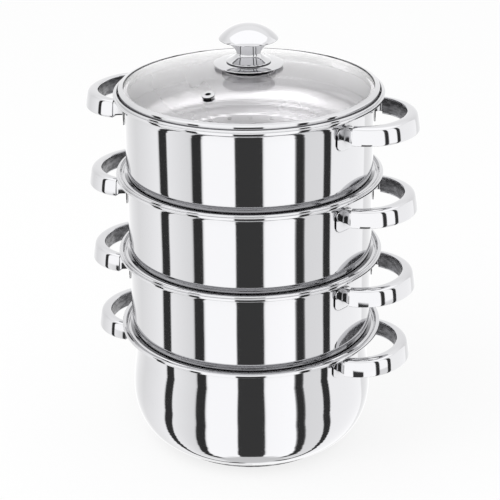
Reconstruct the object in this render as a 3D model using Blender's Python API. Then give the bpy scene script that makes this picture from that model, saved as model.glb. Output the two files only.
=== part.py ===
"""Four-tier steamer pot in polished stainless steel.

A bellied cooking pot carries three straight-walled steamer tiers. Each one
nests in the flared mouth of the piece below it, and a domed glass lid with a
steel band and a knob closes the top. Every vessel has two hollow loop handles,
whose ends slip over brackets spot-welded to the wall.

Metres, +Z up. The origin is the centre of the pot's underside, and the
handles point along +X and -X. Each vessel is drawn about its own lip: z = 0
is the top of the lip, and an empty carries it up to its place in the stack.
"""

from math import asin, cos, pi, radians, sin, sqrt

import bmesh
import bpy
from mathutils import Vector

# Sheet metal, clearances and facets
SHEET = 0.0008
FIT_GAP = 0.0003
CUT_OVERRUN = 0.0020
MERGE_DISTANCE = 0.00001
RIM_STEPS = 28
PIN_STEPS = 10
SHARP_ANGLE = radians(58.0)

# The stack
POT_HEIGHT = 0.1150
TIER_PITCH = 0.0745
TIER_NAMES = ("lower_tier", "middle_tier", "upper_tier")

# The flared mouth that the pot and the tiers share, measured in from the bead's outside
LIP_RADIUS = 0.1200
BEAD_WIDTH = 0.0038
BEAD_ROUND = 0.0012
TROUGH_INSET = 0.0056
TROUGH_DEPTH = 0.0004
RING_INSET = 0.0073
RING_RISE = 0.0003
SEAT_INSET = 0.0098
SEAT_DROP = 0.0020
SEAT_ROUND = 0.0020
SEAT_RADIUS = LIP_RADIUS - SEAT_INSET
MOUTH_RADIUS = SEAT_RADIUS - SEAT_ROUND
LIP_THICKNESS = 0.0018
TIER_LIP_FILLET = 0.0078
POT_LIP_FILLET = 0.0060
TIER_BAND_HEIGHT = 0.0042
TIER_HEM = 0.0007
POT_BAND_HEIGHT = 0.0015
POT_HEM = 0.0050

# The walls of the tiers. The neck's inner face runs on from the rounded seat.
WALL_INSET = 0.0092
WALL_RADIUS = LIP_RADIUS - WALL_INSET
SHOULDER_RADIUS = 0.0180
SHOULDER_TURN = radians(42.0)
NEST_ROUND = 0.0030
NEST_DEPTH = 0.0140

# The punched tray in each tier
TRAY_DEPTH = 0.0460
TRAY_CORNER = 0.0200
TRAY_COLLAR = 0.0040
FIELD_RADIUS = 0.0670
FIELD_STEP = 0.0012
FIELD_SLOPE = 0.0015
HOLE_RADIUS = 0.0022
HOLE_MARGIN = 0.0100
HOLE_RINGS = 3
HOLE_SIDES = 6
HOLE_RING_PITCH = (FIELD_RADIUS - HOLE_MARGIN) / HOLE_RINGS

# The pot, whose neck is a little narrower than a tier's
POT_NECK_STEP = 0.0015
POT_NECK_RADIUS = MOUTH_RADIUS + SHEET - POT_NECK_STEP
POT_NECK_DROP = 0.0250
BELLY_SWELL = 0.0038
BELLY_RADIUS = POT_NECK_RADIUS + BELLY_SWELL
BELLY_HEIGHT = 0.0500
BELLY_STEPS = 6
BASE_INSET = 0.0273
BASE_RADIUS = BELLY_RADIUS - BASE_INSET
BASE_HEIGHT = 0.0060
CORE_INSET = 0.0040
CORE_RADIUS = BASE_RADIUS - CORE_INSET
CAP_SIDE = 0.0023
CAP_RADIUS = CORE_RADIUS + FIT_GAP + CAP_SIDE
CAP_ROUND = 0.0014
# Rings of the wall between the neck and the belly, as shares of the way up
NECK_SHARES = (1.0, 0.75, 0.5, 0.25)

# Loop handles, whose centre line is part of an ellipse in plan
HANDLE_REACH = 0.0380
HANDLE_HALF_SPAN = 0.0452
HANDLE_STANDOFF = 0.0090
HANDLE_END_ANGLE = radians(87.0)
HANDLE_SECTIONS = 13
HANDLE_MID_THICKNESS = 0.0122
HANDLE_MID_HEIGHT = 0.0158
HANDLE_END_THICKNESS = 0.0082
HANDLE_END_HEIGHT = 0.0156
HANDLE_SHEET = 0.0010
TIER_HANDLE_DROP = 0.0174
POT_HANDLE_DROP = 0.0126
# One half of the handle's D-shaped section, outwards and upwards, as shares of its two sizes
SECTION_HALF_SHARES = ((-0.50, 0.44), (-0.38, 0.50), (0.08, 0.42), (0.42, 0.19))

# Brackets
TIER_PLATE_WIDTH = 0.0208
POT_PLATE_WIDTH = 0.0130
TIER_PLATE_HEIGHT = 0.0196
POT_PLATE_HEIGHT = 0.0140
PLATE_SHEET = 0.0010
PLATE_CORNER_SHARES = (0.62, 0.60)
TIER_PLATE_DROP = 0.0216
POT_PLATE_DROP = 0.0178
TONGUE_GAP = 0.0004
TONGUE_ROOT_HEIGHT = 0.0120
TONGUE_ROOT_WIDTH = 0.0056
PLUG_TURN = radians(9.0)

# The glass lid, whose band drops inside the bead and whose skirt drops inside the mouth
BAND_PLAY = 0.0008
BAND_RADIUS = LIP_RADIUS - BEAD_WIDTH - BAND_PLAY
BAND_SHEET = 0.0006
BAND_ROUND = 0.0008
SKIRT_PLAY = 0.0008
SKIRT_RADIUS = MOUTH_RADIUS - SKIRT_PLAY
SKIRT_DEPTH = 0.0040
GLASS_INSET = 0.0020
GLASS_RADIUS = BAND_RADIUS - GLASS_INSET
BAND_GRIP = 0.0024
BAND_INNER_RADIUS = GLASS_RADIUS - BAND_GRIP
GLASS_THICKNESS = 0.0030
GLASS_RISE = 0.0190
GLASS_RINGS = 6
FIXING_HOLE_RADIUS = 0.0034
LID_GAP = 0.00025

# The knob and what holds it to the glass
PLATE_GASKET_RADIUS = 0.0206
CUP_GASKET_RADIUS = 0.0215
GASKET_THICKNESS = 0.0012
GASKET_HOLE_RADIUS = 0.0030
KNOB_PLATE_RADIUS = 0.0308
KNOB_PLATE_FLAT = 0.0210
KNOB_PLATE_FALL = 0.0013
FOOT_RADIUS = 0.0197
FOOT_HEIGHT = 0.0012
KNOB_NECK_RADIUS = 0.0101
KNOB_NECK_HEIGHT = 0.0048
KNOB_BOWL_RADIUS = 0.0216
KNOB_BOWL_HEIGHT = 0.0195
KNOB_BOWL_FLOOR = 0.0120
CAP_DOME_RADIUS = 0.0262
CAP_DOME_RISE = 0.0124
CAP_DOME_SHEET = 0.0010
CAP_EDGE_DROP = 0.0014
KNOB_STEPS = 20
# Rings of the flare between the bowl's edge and the neck, as shares of its width
KNOB_FLARE_SHARES = (0.70, 0.40, 0.15)
CUP_RADIUS = 0.0235
CUP_DEPTH = 0.0070
SCREW_RADIUS = 0.0020
SCREW_HEAD_RADIUS = 0.0045
SCREW_HEAD_HEIGHT = 0.0018
SCREW_REACH = 0.0100

# The steam vent in the glass
VENT_RADIUS = 0.0750
VENT_AZIMUTH = radians(264.0)
VENT_HOLE_RADIUS = 0.0042
EYELET_RADIUS = 0.0061
EYELET_BORE = 0.0023
EYELET_TUBE_RADIUS = 0.0033
EYELET_SHEET = 0.0008
EYELET_TAIL_RADIUS = 0.0052
VENT_WASHER_RADIUS = 0.0054
VENT_WASHER_THICKNESS = 0.0012
VENT_STEPS = 16

# Colour as linear RGB, then roughness and metallic
FINISHES = {
    "polished_steel": ((0.80, 0.80, 0.81), 0.06, 1.0),
    "satin_steel": ((0.62, 0.62, 0.63), 0.28, 1.0),
    "aluminium": ((0.72, 0.72, 0.74), 0.35, 1.0),
    "glass": ((0.90, 0.93, 0.92), 0.02, 0.0),
    "silicone": ((0.05, 0.05, 0.05), 0.60, 0.0),
}


def clear_scene():
    """Remove every object that the file opens with."""
    for obj in list(bpy.data.objects):
        bpy.data.objects.remove(obj, do_unlink=True)


def finish_material(name, finish):
    """A Principled BSDF of its own for one piece."""
    colour, roughness, metallic = FINISHES[finish]
    material = bpy.data.materials.new(name + "_" + finish)
    material.use_nodes = True
    shader = material.node_tree.nodes["Principled BSDF"]
    shader.inputs["Base Color"].default_value = (*colour, 1.0)
    shader.inputs["Roughness"].default_value = roughness
    shader.inputs["Metallic"].default_value = metallic
    if finish == "glass":
        shader.inputs["Transmission Weight"].default_value = 1.0
    return material


def add_object(name, mesh, parent=None, turn=0.0):
    """Put a mesh into the scene as one named piece of the body that its parent stands for."""
    obj = bpy.data.objects.new(name, mesh)
    bpy.context.scene.collection.objects.link(obj)
    obj.parent = parent
    obj.rotation_euler.z = turn
    return obj


def add_part(name, shape, finish, parent, turn=0.0):
    """Place a copy of a finished shape, shaded smooth between its sharp edges."""
    mesh = shape.copy()
    mesh.name = name
    mesh.materials.append(finish_material(name, finish))
    mesh.shade_smooth()
    mesh.set_sharp_from_angle(angle=SHARP_ANGLE)
    return add_object(name, mesh, parent, turn)


def add_body(name, height, parent=None):
    """An empty on the stack's axis that carries one body of the stack."""
    empty = bpy.data.objects.new(name, None)
    bpy.context.scene.collection.objects.link(empty)
    empty.parent = parent
    empty.location.z = height
    return empty


def evaluated_shape(obj):
    """The object's mesh as its modifiers leave it, with the object itself removed."""
    graph = bpy.context.evaluated_depsgraph_get()
    mesh = bpy.data.meshes.new_from_object(obj.evaluated_get(graph))
    bpy.data.objects.remove(obj, do_unlink=True)
    return mesh


def arc(centre_radius, centre_height, radius, start, end, steps):
    """Points of a round stretch of an outline, from one angle to another, both ends kept."""
    points = []
    for step in range(steps + 1):
        angle = start + (end - start) * step / steps
        points.append((centre_radius + radius * cos(angle), centre_height + radius * sin(angle)))
    return points


def ease(share):
    """A smooth step from 0 to 1."""
    return share * share * (3.0 - 2.0 * share)


def turned(outline, steps, closed):
    """Spin an outline of radius and height round the axis.

    The outline runs down its outer side. An open one starts and ends on the
    axis, and a closed one makes a ring.
    """
    count = len(outline)
    edges = [(index, index + 1) for index in range(count - 1)]
    if closed:
        edges.append((count - 1, 0))
    mesh = bpy.data.meshes.new("outline")
    mesh.from_pydata([(radius, 0.0, height) for radius, height in outline], edges, [])
    obj = add_object("turned", mesh)
    screw = obj.modifiers.new("spin", "SCREW")
    screw.angle = 2.0 * pi
    screw.steps = steps
    screw.render_steps = steps
    screw.use_merge_vertices = True
    screw.merge_threshold = MERGE_DISTANCE
    return evaluated_shape(obj)


def next_ring(shape, verts, edges, points):
    """Extrude a ring of edges and move the new ring onto its points."""
    before = set(shape.verts)
    bmesh.ops.extrude_edge_only(shape, edges=edges)
    grown = []
    for vert, point in zip(verts, points):
        ends = [edge.other_vert(vert) for edge in vert.link_edges]
        new_vert = [end for end in ends if end not in before][0]
        new_vert.co = point
        grown.append(new_vert)
    return grown, [shape.edges.get((grown[index - 1], vert)) for index, vert in enumerate(grown)]


def lofted(rings, closed, back_centre=None):
    """Extrude from ring to ring of points; an open row of rings gets a cap at each end.

    back_centre, where given, lifts the first cap's middle so that it follows a round wall.
    """
    shape = bmesh.new()
    verts = [shape.verts.new(point) for point in rings[0]]
    edges = [shape.edges.new((verts[index - 1], vert)) for index, vert in enumerate(verts)]
    if not closed:
        back = shape.faces.new(verts)
    for ring in rings[1:]:
        verts, edges = next_ring(shape, verts, edges, ring)
    if closed:
        next_ring(shape, verts, edges, rings[0])
        bmesh.ops.remove_doubles(shape, verts=shape.verts, dist=MERGE_DISTANCE)
    else:
        shape.faces.new(verts)
    if back_centre is not None:
        poked = bmesh.ops.poke(shape, faces=[back])
        poked["verts"][0].co = back_centre
    bmesh.ops.recalc_face_normals(shape, faces=shape.faces)
    mesh = bpy.data.meshes.new("loft")
    shape.to_mesh(mesh)
    shape.free()
    return mesh


def cut(shape, cutters):
    """Subtract one shape from another."""
    obj = add_object("blank", shape)
    tool = add_object("cutters", cutters)
    tool.hide_render = True
    tool.display_type = "WIRE"
    boolean = obj.modifiers.new("cut", "BOOLEAN")
    boolean.operation = "DIFFERENCE"
    boolean.solver = "EXACT"
    boolean.object = tool
    mesh = evaluated_shape(obj)
    bpy.data.objects.remove(tool, do_unlink=True)
    return mesh


def pins(places, radius, sides, low, high):
    """Upright pins of one radius, used as cutters."""
    shape = bmesh.new()
    for x, y in places:
        made = bmesh.ops.create_circle(shape, cap_ends=True, segments=sides, radius=radius)
        bmesh.ops.translate(shape, verts=made["verts"], vec=(x, y, low))
        face = made["verts"][0].link_faces[0]
        grown = bmesh.ops.extrude_face_region(shape, geom=[face], use_keep_orig=True)
        top = [item for item in grown["geom"] if isinstance(item, bmesh.types.BMVert)]
        bmesh.ops.translate(shape, verts=top, vec=(0.0, 0.0, high - low))
    bmesh.ops.recalc_face_normals(shape, faces=shape.faces)
    mesh = bpy.data.meshes.new("pins")
    shape.to_mesh(mesh)
    shape.free()
    return mesh


def seat_contact():
    """How a shoulder rests in the mouth below it.

    Both are round in section, so they touch on the line between their
    centres. Returns that line's slope and the height, above the lower lip,
    at which the tier's straight wall ends.
    """
    across = SEAT_RADIUS - (WALL_RADIUS - SHOULDER_RADIUS)
    reach = SHOULDER_RADIUS + SEAT_ROUND + FIT_GAP
    rise = sqrt(reach * reach - across * across)
    return asin(rise / reach), rise - SEAT_DROP - SEAT_ROUND


def lip_outside(wall_radius, fillet, band_height, hem):
    """Down the outer side of the lip: rolled bead, hem, underside and the fillet to the wall."""
    under = SEAT_DROP + LIP_THICKNESS
    points = arc(LIP_RADIUS - BEAD_ROUND, -BEAD_ROUND, BEAD_ROUND, pi / 2, 0.0, 2)
    points.append((LIP_RADIUS, -band_height))
    points.append((LIP_RADIUS - hem, -under))
    points += arc(wall_radius + fillet, -under - fillet, fillet, pi / 2, pi, 3)
    return points


def lip_inside(wall_inner_radius):
    """Up the inner side of the lip: wall, rounded seat, raised ring, trough and bead."""
    slope, _ = seat_contact()
    seat_height = -SEAT_DROP - SEAT_ROUND
    points = [(wall_inner_radius, seat_height - abs(MOUTH_RADIUS - wall_inner_radius) * 2)]
    for angle in (pi, pi - slope, pi / 2):
        points += arc(SEAT_RADIUS, seat_height, SEAT_ROUND, angle, angle, 1)[:1]
    points.append((LIP_RADIUS - RING_INSET, -SEAT_DROP + RING_RISE))
    points.append((LIP_RADIUS - TROUGH_INSET, -SEAT_DROP - TROUGH_DEPTH))
    points.append((LIP_RADIUS - BEAD_WIDTH, -SEAT_DROP + RING_RISE))
    points.append((LIP_RADIUS - (BEAD_WIDTH + BEAD_ROUND) / 2, -SEAT_DROP / 8))
    return points


def shoulder_side(offset, steps_angles):
    """The shoulder and the nest ring below it, down one side of the sheet.

    offset is 0 on the outer side and the sheet's thickness on the inner one.
    """
    _, wall_end = seat_contact()
    centre_radius = WALL_RADIUS - SHOULDER_RADIUS
    centre_height = wall_end - TIER_PITCH
    radius = SHOULDER_RADIUS - offset
    points = []
    for angle in steps_angles:
        points.append((centre_radius + radius * cos(angle), centre_height - radius * sin(angle)))
    nest_radius = centre_radius + (SHOULDER_RADIUS + NEST_ROUND) * cos(SHOULDER_TURN) - NEST_ROUND
    nest_height = centre_height - (SHOULDER_RADIUS + NEST_ROUND) * sin(SHOULDER_TURN)
    points.append((nest_radius - offset, nest_height))
    points.append((nest_radius - offset, -TIER_PITCH - NEST_DEPTH))
    return points


def tier_wall_shape():
    """A tier's wall: lip, straight side, shoulder and nest ring, open below."""
    slope, _ = seat_contact()
    angles = (0.0, slope / 2, slope, SHOULDER_TURN)
    outside = lip_outside(WALL_RADIUS, TIER_LIP_FILLET, TIER_BAND_HEIGHT, TIER_HEM)
    outside += shoulder_side(0.0, angles)
    inside = list(reversed(shoulder_side(SHEET, angles)))
    inside += lip_inside(WALL_RADIUS - SHEET)
    return turned(outside + inside, RIM_STEPS, closed=True)


def hole_places():
    """Rings of punched holes round a middle one, each ring with six more than the last."""
    places = [(0.0, 0.0)]
    for ring in range(1, HOLE_RINGS + 1):
        count = 6 * ring
        for index in range(count):
            angle = 2.0 * pi * (index + 0.5) / count
            places.append((ring * HOLE_RING_PITCH * cos(angle), ring * HOLE_RING_PITCH * sin(angle)))
    return places


def tray_shape():
    """The punched tray: a shallow dish whose collar is welded inside the tier's wall."""
    rim_radius = WALL_RADIUS - SHEET - FIT_GAP
    corner_radius = rim_radius - TRAY_CORNER
    corner_height = -TRAY_DEPTH - SHEET + TRAY_CORNER
    field = -TRAY_DEPTH - FIELD_STEP
    upper = [(0.0, field), (FIELD_RADIUS, field), (FIELD_RADIUS + FIELD_SLOPE, -TRAY_DEPTH)]
    upper += arc(corner_radius, corner_height, TRAY_CORNER - SHEET, -pi / 2, 0.0, 3)
    upper.append((rim_radius - SHEET, corner_height + TRAY_COLLAR))
    lower = [(rim_radius, corner_height + TRAY_COLLAR)]
    lower += arc(corner_radius, corner_height, TRAY_CORNER, 0.0, -pi / 2, 3)
    lower.append((FIELD_RADIUS + FIELD_SLOPE, -TRAY_DEPTH - SHEET))
    lower.append((FIELD_RADIUS, field - SHEET))
    lower.append((0.0, field - SHEET))
    blank = turned(upper + lower, RIM_STEPS, closed=False)
    low = field - SHEET - CUT_OVERRUN
    return cut(blank, pins(hole_places(), HOLE_RADIUS, HOLE_SIDES, low, field + CUT_OVERRUN))


def belly_side(offset):
    """Down the pot's wall from its neck over the belly to the rounded bottom.

    The upper stretch eases from the neck out to the belly, and the lower one
    is a quarter of an ellipse that ends flat on the base.
    """
    neck_height = POT_HEIGHT - POT_NECK_DROP
    points = []
    for share in NECK_SHARES:
        radius = BELLY_RADIUS + (POT_NECK_RADIUS - BELLY_RADIUS) * ease(share)
        height = BELLY_HEIGHT + (neck_height - BELLY_HEIGHT) * share
        points.append((radius - offset, height))
    across = BELLY_RADIUS - BASE_RADIUS - offset
    down = BELLY_HEIGHT - BASE_HEIGHT - offset
    for step in range(BELLY_STEPS + 1):
        angle = pi / 2 * step / BELLY_STEPS
        points.append((BASE_RADIUS + across * cos(angle), BELLY_HEIGHT - down * sin(angle)))
    return points


def pot_shell_shape():
    """The pot's shell, closed by its floor, drawn from the table up."""
    outside = lip_outside(POT_NECK_RADIUS, POT_LIP_FILLET, POT_BAND_HEIGHT, POT_HEM)
    inside = lip_inside(POT_NECK_RADIUS - SHEET)
    mouth_outside = [(radius, height + POT_HEIGHT) for radius, height in outside]
    mouth_inside = [(radius, height + POT_HEIGHT) for radius, height in inside]
    inner_wall = list(reversed(belly_side(SHEET)))
    upper = [(0.0, BASE_HEIGHT + SHEET)] + inner_wall + mouth_inside
    lower = mouth_outside + belly_side(0.0) + [(0.0, BASE_HEIGHT)]
    return turned(upper + lower, RIM_STEPS, closed=False)


def base_core_shape():
    """The aluminium disc that spreads the heat, between the shell and the cap."""
    low = SHEET + FIT_GAP
    high = BASE_HEIGHT - FIT_GAP
    outline = [(0.0, high), (CORE_RADIUS, high), (CORE_RADIUS, low), (0.0, low)]
    return turned(outline, RIM_STEPS, closed=False)


def base_cap_shape():
    """The steel cap pressed over the core, flat where the pot stands."""
    wall_radius = CORE_RADIUS + FIT_GAP
    high = BASE_HEIGHT - FIT_GAP
    outline = [(0.0, SHEET), (wall_radius, SHEET), (wall_radius, high), (CAP_RADIUS, high)]
    outline += arc(CAP_RADIUS - CAP_ROUND, CAP_ROUND, CAP_ROUND, 0.0, -pi / 2, 2)
    outline.append((0.0, 0.0))
    return turned(outline, RIM_STEPS, closed=False)


def section_ring(centre, outward, thickness, height):
    """One D-shaped section, round side outwards, about a point of the handle's centre line."""
    upper = [(across, up) for across, up in SECTION_HALF_SHARES]
    lower = [(across, -up) for across, up in reversed(upper)]
    ring = []
    for across, up in upper + lower:
        ring.append(centre + outward * (across * thickness) + Vector((0.0, 0.0, up * height)))
    return ring


def handle_depth(wall_radius):
    """The centre line's half axis away from the pot, which keeps its ends clear of the wall."""
    end_side = HANDLE_HALF_SPAN * sin(HANDLE_END_ANGLE)
    end_out = sqrt((wall_radius + HANDLE_STANDOFF) ** 2 - end_side ** 2)
    return (wall_radius + HANDLE_REACH - end_out) / (1.0 - cos(HANDLE_END_ANGLE))


def handle_line(wall_radius, angle, height):
    """A point of the handle's centre line and the direction that faces away from the pot."""
    depth = handle_depth(wall_radius)
    centre = wall_radius + HANDLE_REACH - depth
    point = Vector((centre + depth * cos(angle), HANDLE_HALF_SPAN * sin(angle), height))
    outward = Vector((HANDLE_HALF_SPAN * cos(angle), depth * sin(angle), 0.0)).normalized()
    return point, outward


def handle_size(angle):
    """Thickness and height of the handle, full in the middle and drawn in at the ends."""
    share = (angle / HANDLE_END_ANGLE) ** 2
    thickness = HANDLE_MID_THICKNESS + (HANDLE_END_THICKNESS - HANDLE_MID_THICKNESS) * share
    height = HANDLE_MID_HEIGHT + (HANDLE_END_HEIGHT - HANDLE_MID_HEIGHT) * share
    return thickness, height


def handle_shape(wall_radius, height):
    """A hollow loop, open at both ends, on the +X side of the pot."""
    outer = []
    inner = []
    for step in range(HANDLE_SECTIONS):
        angle = HANDLE_END_ANGLE * (2.0 * step / (HANDLE_SECTIONS - 1) - 1.0)
        point, outward = handle_line(wall_radius, angle, height)
        thickness, tall = handle_size(angle)
        outer.append(section_ring(point, outward, thickness, tall))
        hollow = thickness - 2.0 * HANDLE_SHEET
        inner.append(section_ring(point, outward, hollow, tall - 2.0 * HANDLE_SHEET))
    return lofted(outer + list(reversed(inner)), closed=True)


def wall_point(radius, angle, along, height):
    """A point on a round wall, so far along it from an angle."""
    turn = angle + along / radius
    return Vector((radius * cos(turn), radius * sin(turn), height))


def plate_ring(radius, angle, size, height):
    """The bracket plate's outline with its corners cut, laid on a round wall."""
    along_share, up_share = PLATE_CORNER_SHARES
    half_width = size[0] / 2
    half_height = size[1] / 2
    near = [(-half_width, half_height * up_share), (-half_width * along_share, half_height)]
    top = near + [(-along, up) for along, up in reversed(near)]
    bottom = [(along, -up) for along, up in reversed(top)]
    return [wall_point(radius, angle, along, height + up) for along, up in top + bottom]


def bracket_shape(wall_radius, plate_size, plate_height, handle_height, end):
    """A plate welded to the wall, with the tongue that the handle's end slips over.

    The plate lies straight behind the end of the handle. end is 1 for the +Y
    end of the +X handle and -1 for the other one.
    """
    turn = HANDLE_END_ANGLE - PLUG_TURN
    seat, seat_out = handle_line(wall_radius, HANDLE_END_ANGLE, handle_height)
    plug, plug_out = handle_line(wall_radius, turn, handle_height)
    angle = seat.xy.angle_signed(Vector((1.0, 0.0)))
    back = wall_radius + FIT_GAP
    front = back + PLATE_SHEET
    tangent = Vector((-sin(angle), cos(angle), 0.0))
    root = wall_point(front, angle, 0.0, handle_height)
    inset = 2.0 * (HANDLE_SHEET + TONGUE_GAP)
    thick, tall = handle_size(HANDLE_END_ANGLE)
    rings = [
        plate_ring(back, angle, plate_size, plate_height),
        plate_ring(front, angle, plate_size, plate_height),
        section_ring(root, tangent, TONGUE_ROOT_WIDTH, TONGUE_ROOT_HEIGHT),
        section_ring(seat, seat_out, thick - inset, tall - inset),
        section_ring(plug, plug_out, thick - inset, tall - inset),
    ]
    rings = [[Vector((x, end * y, z)) for x, y, z in ring] for ring in rings]
    middle = wall_point(back, end * angle, 0.0, plate_height)
    return lofted(rings, closed=False, back_centre=middle)


def dome_height(radius):
    """Height of the glass's upper face above the lip, at a distance from the axis."""
    sphere = (GLASS_RADIUS ** 2 + GLASS_RISE ** 2) / (2.0 * GLASS_RISE)
    edge = sqrt(sphere * sphere - GLASS_RADIUS * GLASS_RADIUS)
    return glass_edge_height() + sqrt(sphere * sphere - radius * radius) - edge


def band_floor_height():
    """The underside of the lid's band, just clear of the ring that it sits on."""
    return RING_RISE - SEAT_DROP + FIT_GAP


def glass_edge_height():
    """The upper face of the glass at its edge, inside the band."""
    return band_floor_height() + BAND_SHEET + LID_GAP + GLASS_THICKNESS


def glass_shape():
    """The domed glass, with a hole in the middle for the knob's screw and one for the vent."""
    upper = []
    for step in range(GLASS_RINGS):
        share = step / (GLASS_RINGS - 1)
        radius = FIXING_HOLE_RADIUS + (GLASS_RADIUS - FIXING_HOLE_RADIUS) * share
        upper.append((radius, dome_height(radius)))
    lower = [(radius, height - GLASS_THICKNESS) for radius, height in reversed(upper)]
    blank = turned(upper + lower, RIM_STEPS, closed=True)
    height = dome_height(VENT_RADIUS)
    reach = GLASS_THICKNESS + CUT_OVERRUN
    place = (VENT_RADIUS * cos(VENT_AZIMUTH), VENT_RADIUS * sin(VENT_AZIMUTH))
    return cut(blank, pins([place], VENT_HOLE_RADIUS, PIN_STEPS, height - 2 * reach, height + reach))


def band_shape():
    """The steel band rolled round the glass's edge, with a skirt that finds the mouth."""
    low = band_floor_height()
    floor_top = low + BAND_SHEET
    edge_radius = GLASS_RADIUS + LID_GAP
    edge_top = dome_height(GLASS_RADIUS) + LID_GAP
    inner_top = dome_height(BAND_INNER_RADIUS) + LID_GAP
    outline = [
        (BAND_INNER_RADIUS, inner_top + BAND_SHEET),
        (GLASS_RADIUS, edge_top + BAND_SHEET),
    ]
    outline += arc(BAND_RADIUS - BAND_ROUND, edge_top, BAND_ROUND, pi / 3, 0.0, 1)
    outline += arc(BAND_RADIUS - BAND_ROUND, low + BAND_ROUND, BAND_ROUND, 0.0, -pi / 2, 1)
    outline += [
        (SKIRT_RADIUS, low),
        (SKIRT_RADIUS, low - SKIRT_DEPTH),
        (SKIRT_RADIUS - BAND_SHEET, low - SKIRT_DEPTH),
        (SKIRT_RADIUS - BAND_SHEET, floor_top),
        (edge_radius, floor_top),
        (edge_radius, edge_top),
        (BAND_INNER_RADIUS, inner_top),
    ]
    return turned(outline, RIM_STEPS, closed=True)


def gasket_shape(radius, low_at, thickness):
    """A flat silicone washer whose lower or upper face follows the glass.

    low_at gives the height of its lower face at a distance from the axis.
    """
    hole = GASKET_HOLE_RADIUS
    high = low_at(hole) + thickness
    outline = [(radius, high), (radius, low_at(radius)), (hole, low_at(hole)), (hole, high)]
    return turned(outline, KNOB_STEPS, closed=True)


def plate_gasket_shape():
    """The washer between the glass and the knob's plate."""
    return gasket_shape(PLATE_GASKET_RADIUS, lambda radius: dome_height(radius) + FIT_GAP, GASKET_THICKNESS)


def knob_plate_height():
    """The knob plate's underside, on top of its washer."""
    return dome_height(GASKET_HOLE_RADIUS) + FIT_GAP + GASKET_THICKNESS + FIT_GAP


def knob_plate_shape():
    """The wide steel plate under the knob, flat in the middle and drooping at its edge."""
    low = knob_plate_height()
    hole = SCREW_RADIUS + FIT_GAP
    edge = low - KNOB_PLATE_FALL
    outline = [
        (KNOB_PLATE_FLAT, low + SHEET),
        (KNOB_PLATE_RADIUS, edge + SHEET),
        (KNOB_PLATE_RADIUS, edge),
        (KNOB_PLATE_FLAT + SHEET, low),
        (hole, low),
        (hole, low + SHEET),
    ]
    return turned(outline, KNOB_STEPS, closed=True)


def foot_height():
    """The knob body's underside, on its plate."""
    return knob_plate_height() + SHEET + FIT_GAP


def knob_body_shape():
    """The waisted body of the knob: foot, neck and an open bowl, with a blind screw hole."""
    low = foot_height()
    rim = low + KNOB_BOWL_HEIGHT
    bore = SCREW_RADIUS + FIT_GAP
    neck = low + KNOB_NECK_HEIGHT
    rise = rim - neck
    flare = KNOB_BOWL_RADIUS - KNOB_NECK_RADIUS
    inner = KNOB_BOWL_RADIUS - CAP_DOME_SHEET
    outline = [
        (0.0, low + KNOB_BOWL_FLOOR),
        (KNOB_NECK_RADIUS, low + KNOB_BOWL_FLOOR),
        (inner, rim),
        (KNOB_BOWL_RADIUS, rim),
    ]
    for share in KNOB_FLARE_SHARES:
        outline.append((KNOB_NECK_RADIUS + flare * share, neck + rise * sqrt(share)))
    outline += [
        (KNOB_NECK_RADIUS, neck),
        ((KNOB_NECK_RADIUS + FOOT_RADIUS) / 2, low + 2.0 * FOOT_HEIGHT),
        (FOOT_RADIUS, low + FOOT_HEIGHT),
        (FOOT_RADIUS, low),
        (bore, low),
        (bore, low + SCREW_REACH),
        (0.0, low + SCREW_REACH),
    ]
    return turned(outline, KNOB_STEPS, closed=False)


def knob_cap_shape():
    """The pressed dome on top of the knob, rolled under at its edge."""
    seam = foot_height() + KNOB_BOWL_HEIGHT + FIT_GAP
    edge = seam + CAP_EDGE_DROP
    sphere = (CAP_DOME_RADIUS ** 2 + CAP_DOME_RISE ** 2) / (2.0 * CAP_DOME_RISE)
    spread = asin(CAP_DOME_RADIUS / sphere)
    centre = edge + CAP_DOME_RISE - sphere
    top = arc(0.0, centre, sphere, pi / 2, pi / 2 - spread, 5)
    inner_sphere = sphere - CAP_DOME_SHEET
    inner_spread = asin((KNOB_BOWL_RADIUS - CAP_DOME_SHEET) / inner_sphere)
    under = arc(0.0, centre, inner_sphere, pi / 2 - inner_spread, pi / 2, 4)
    top[0] = (0.0, centre + sphere)
    under[-1] = (0.0, centre + inner_sphere)
    rolled = [
        (CAP_DOME_RADIUS - CAP_DOME_SHEET, seam),
        (KNOB_BOWL_RADIUS - CAP_DOME_SHEET, seam),
    ]
    return turned(top + rolled + under, KNOB_STEPS, closed=False)


def cup_gasket_height(radius):
    """The upper face of the washer under the glass."""
    return dome_height(radius) - GLASS_THICKNESS - FIT_GAP


def cup_gasket_shape():
    """The washer between the glass and the cup that clamps it from below."""
    hole = GASKET_HOLE_RADIUS
    low = cup_gasket_height(CUP_GASKET_RADIUS) - GASKET_THICKNESS
    outline = [
        (hole, cup_gasket_height(hole)),
        (CUP_GASKET_RADIUS, cup_gasket_height(CUP_GASKET_RADIUS)),
        (CUP_GASKET_RADIUS, low),
        (hole, low),
    ]
    return turned(outline, KNOB_STEPS, closed=True)


def cup_top_height():
    """The inner cup's flat top, under its washer."""
    return cup_gasket_height(CUP_GASKET_RADIUS) - GASKET_THICKNESS - FIT_GAP


def cup_shape():
    """The steel cup inside the lid, open below, with the screw through its roof."""
    high = cup_top_height()
    low = high - CUP_DEPTH
    hole = SCREW_RADIUS + FIT_GAP
    outline = [
        (hole, high),
        (CUP_RADIUS - CAP_ROUND, high),
        (CUP_RADIUS, high - CAP_ROUND),
        (CUP_RADIUS, low),
        (CUP_RADIUS - SHEET, low),
        (CUP_RADIUS - SHEET, high - CAP_ROUND),
        (CUP_RADIUS - CAP_ROUND - SHEET / 2, high - SHEET),
        (hole, high - SHEET),
    ]
    return turned(outline, KNOB_STEPS, closed=True)


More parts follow.
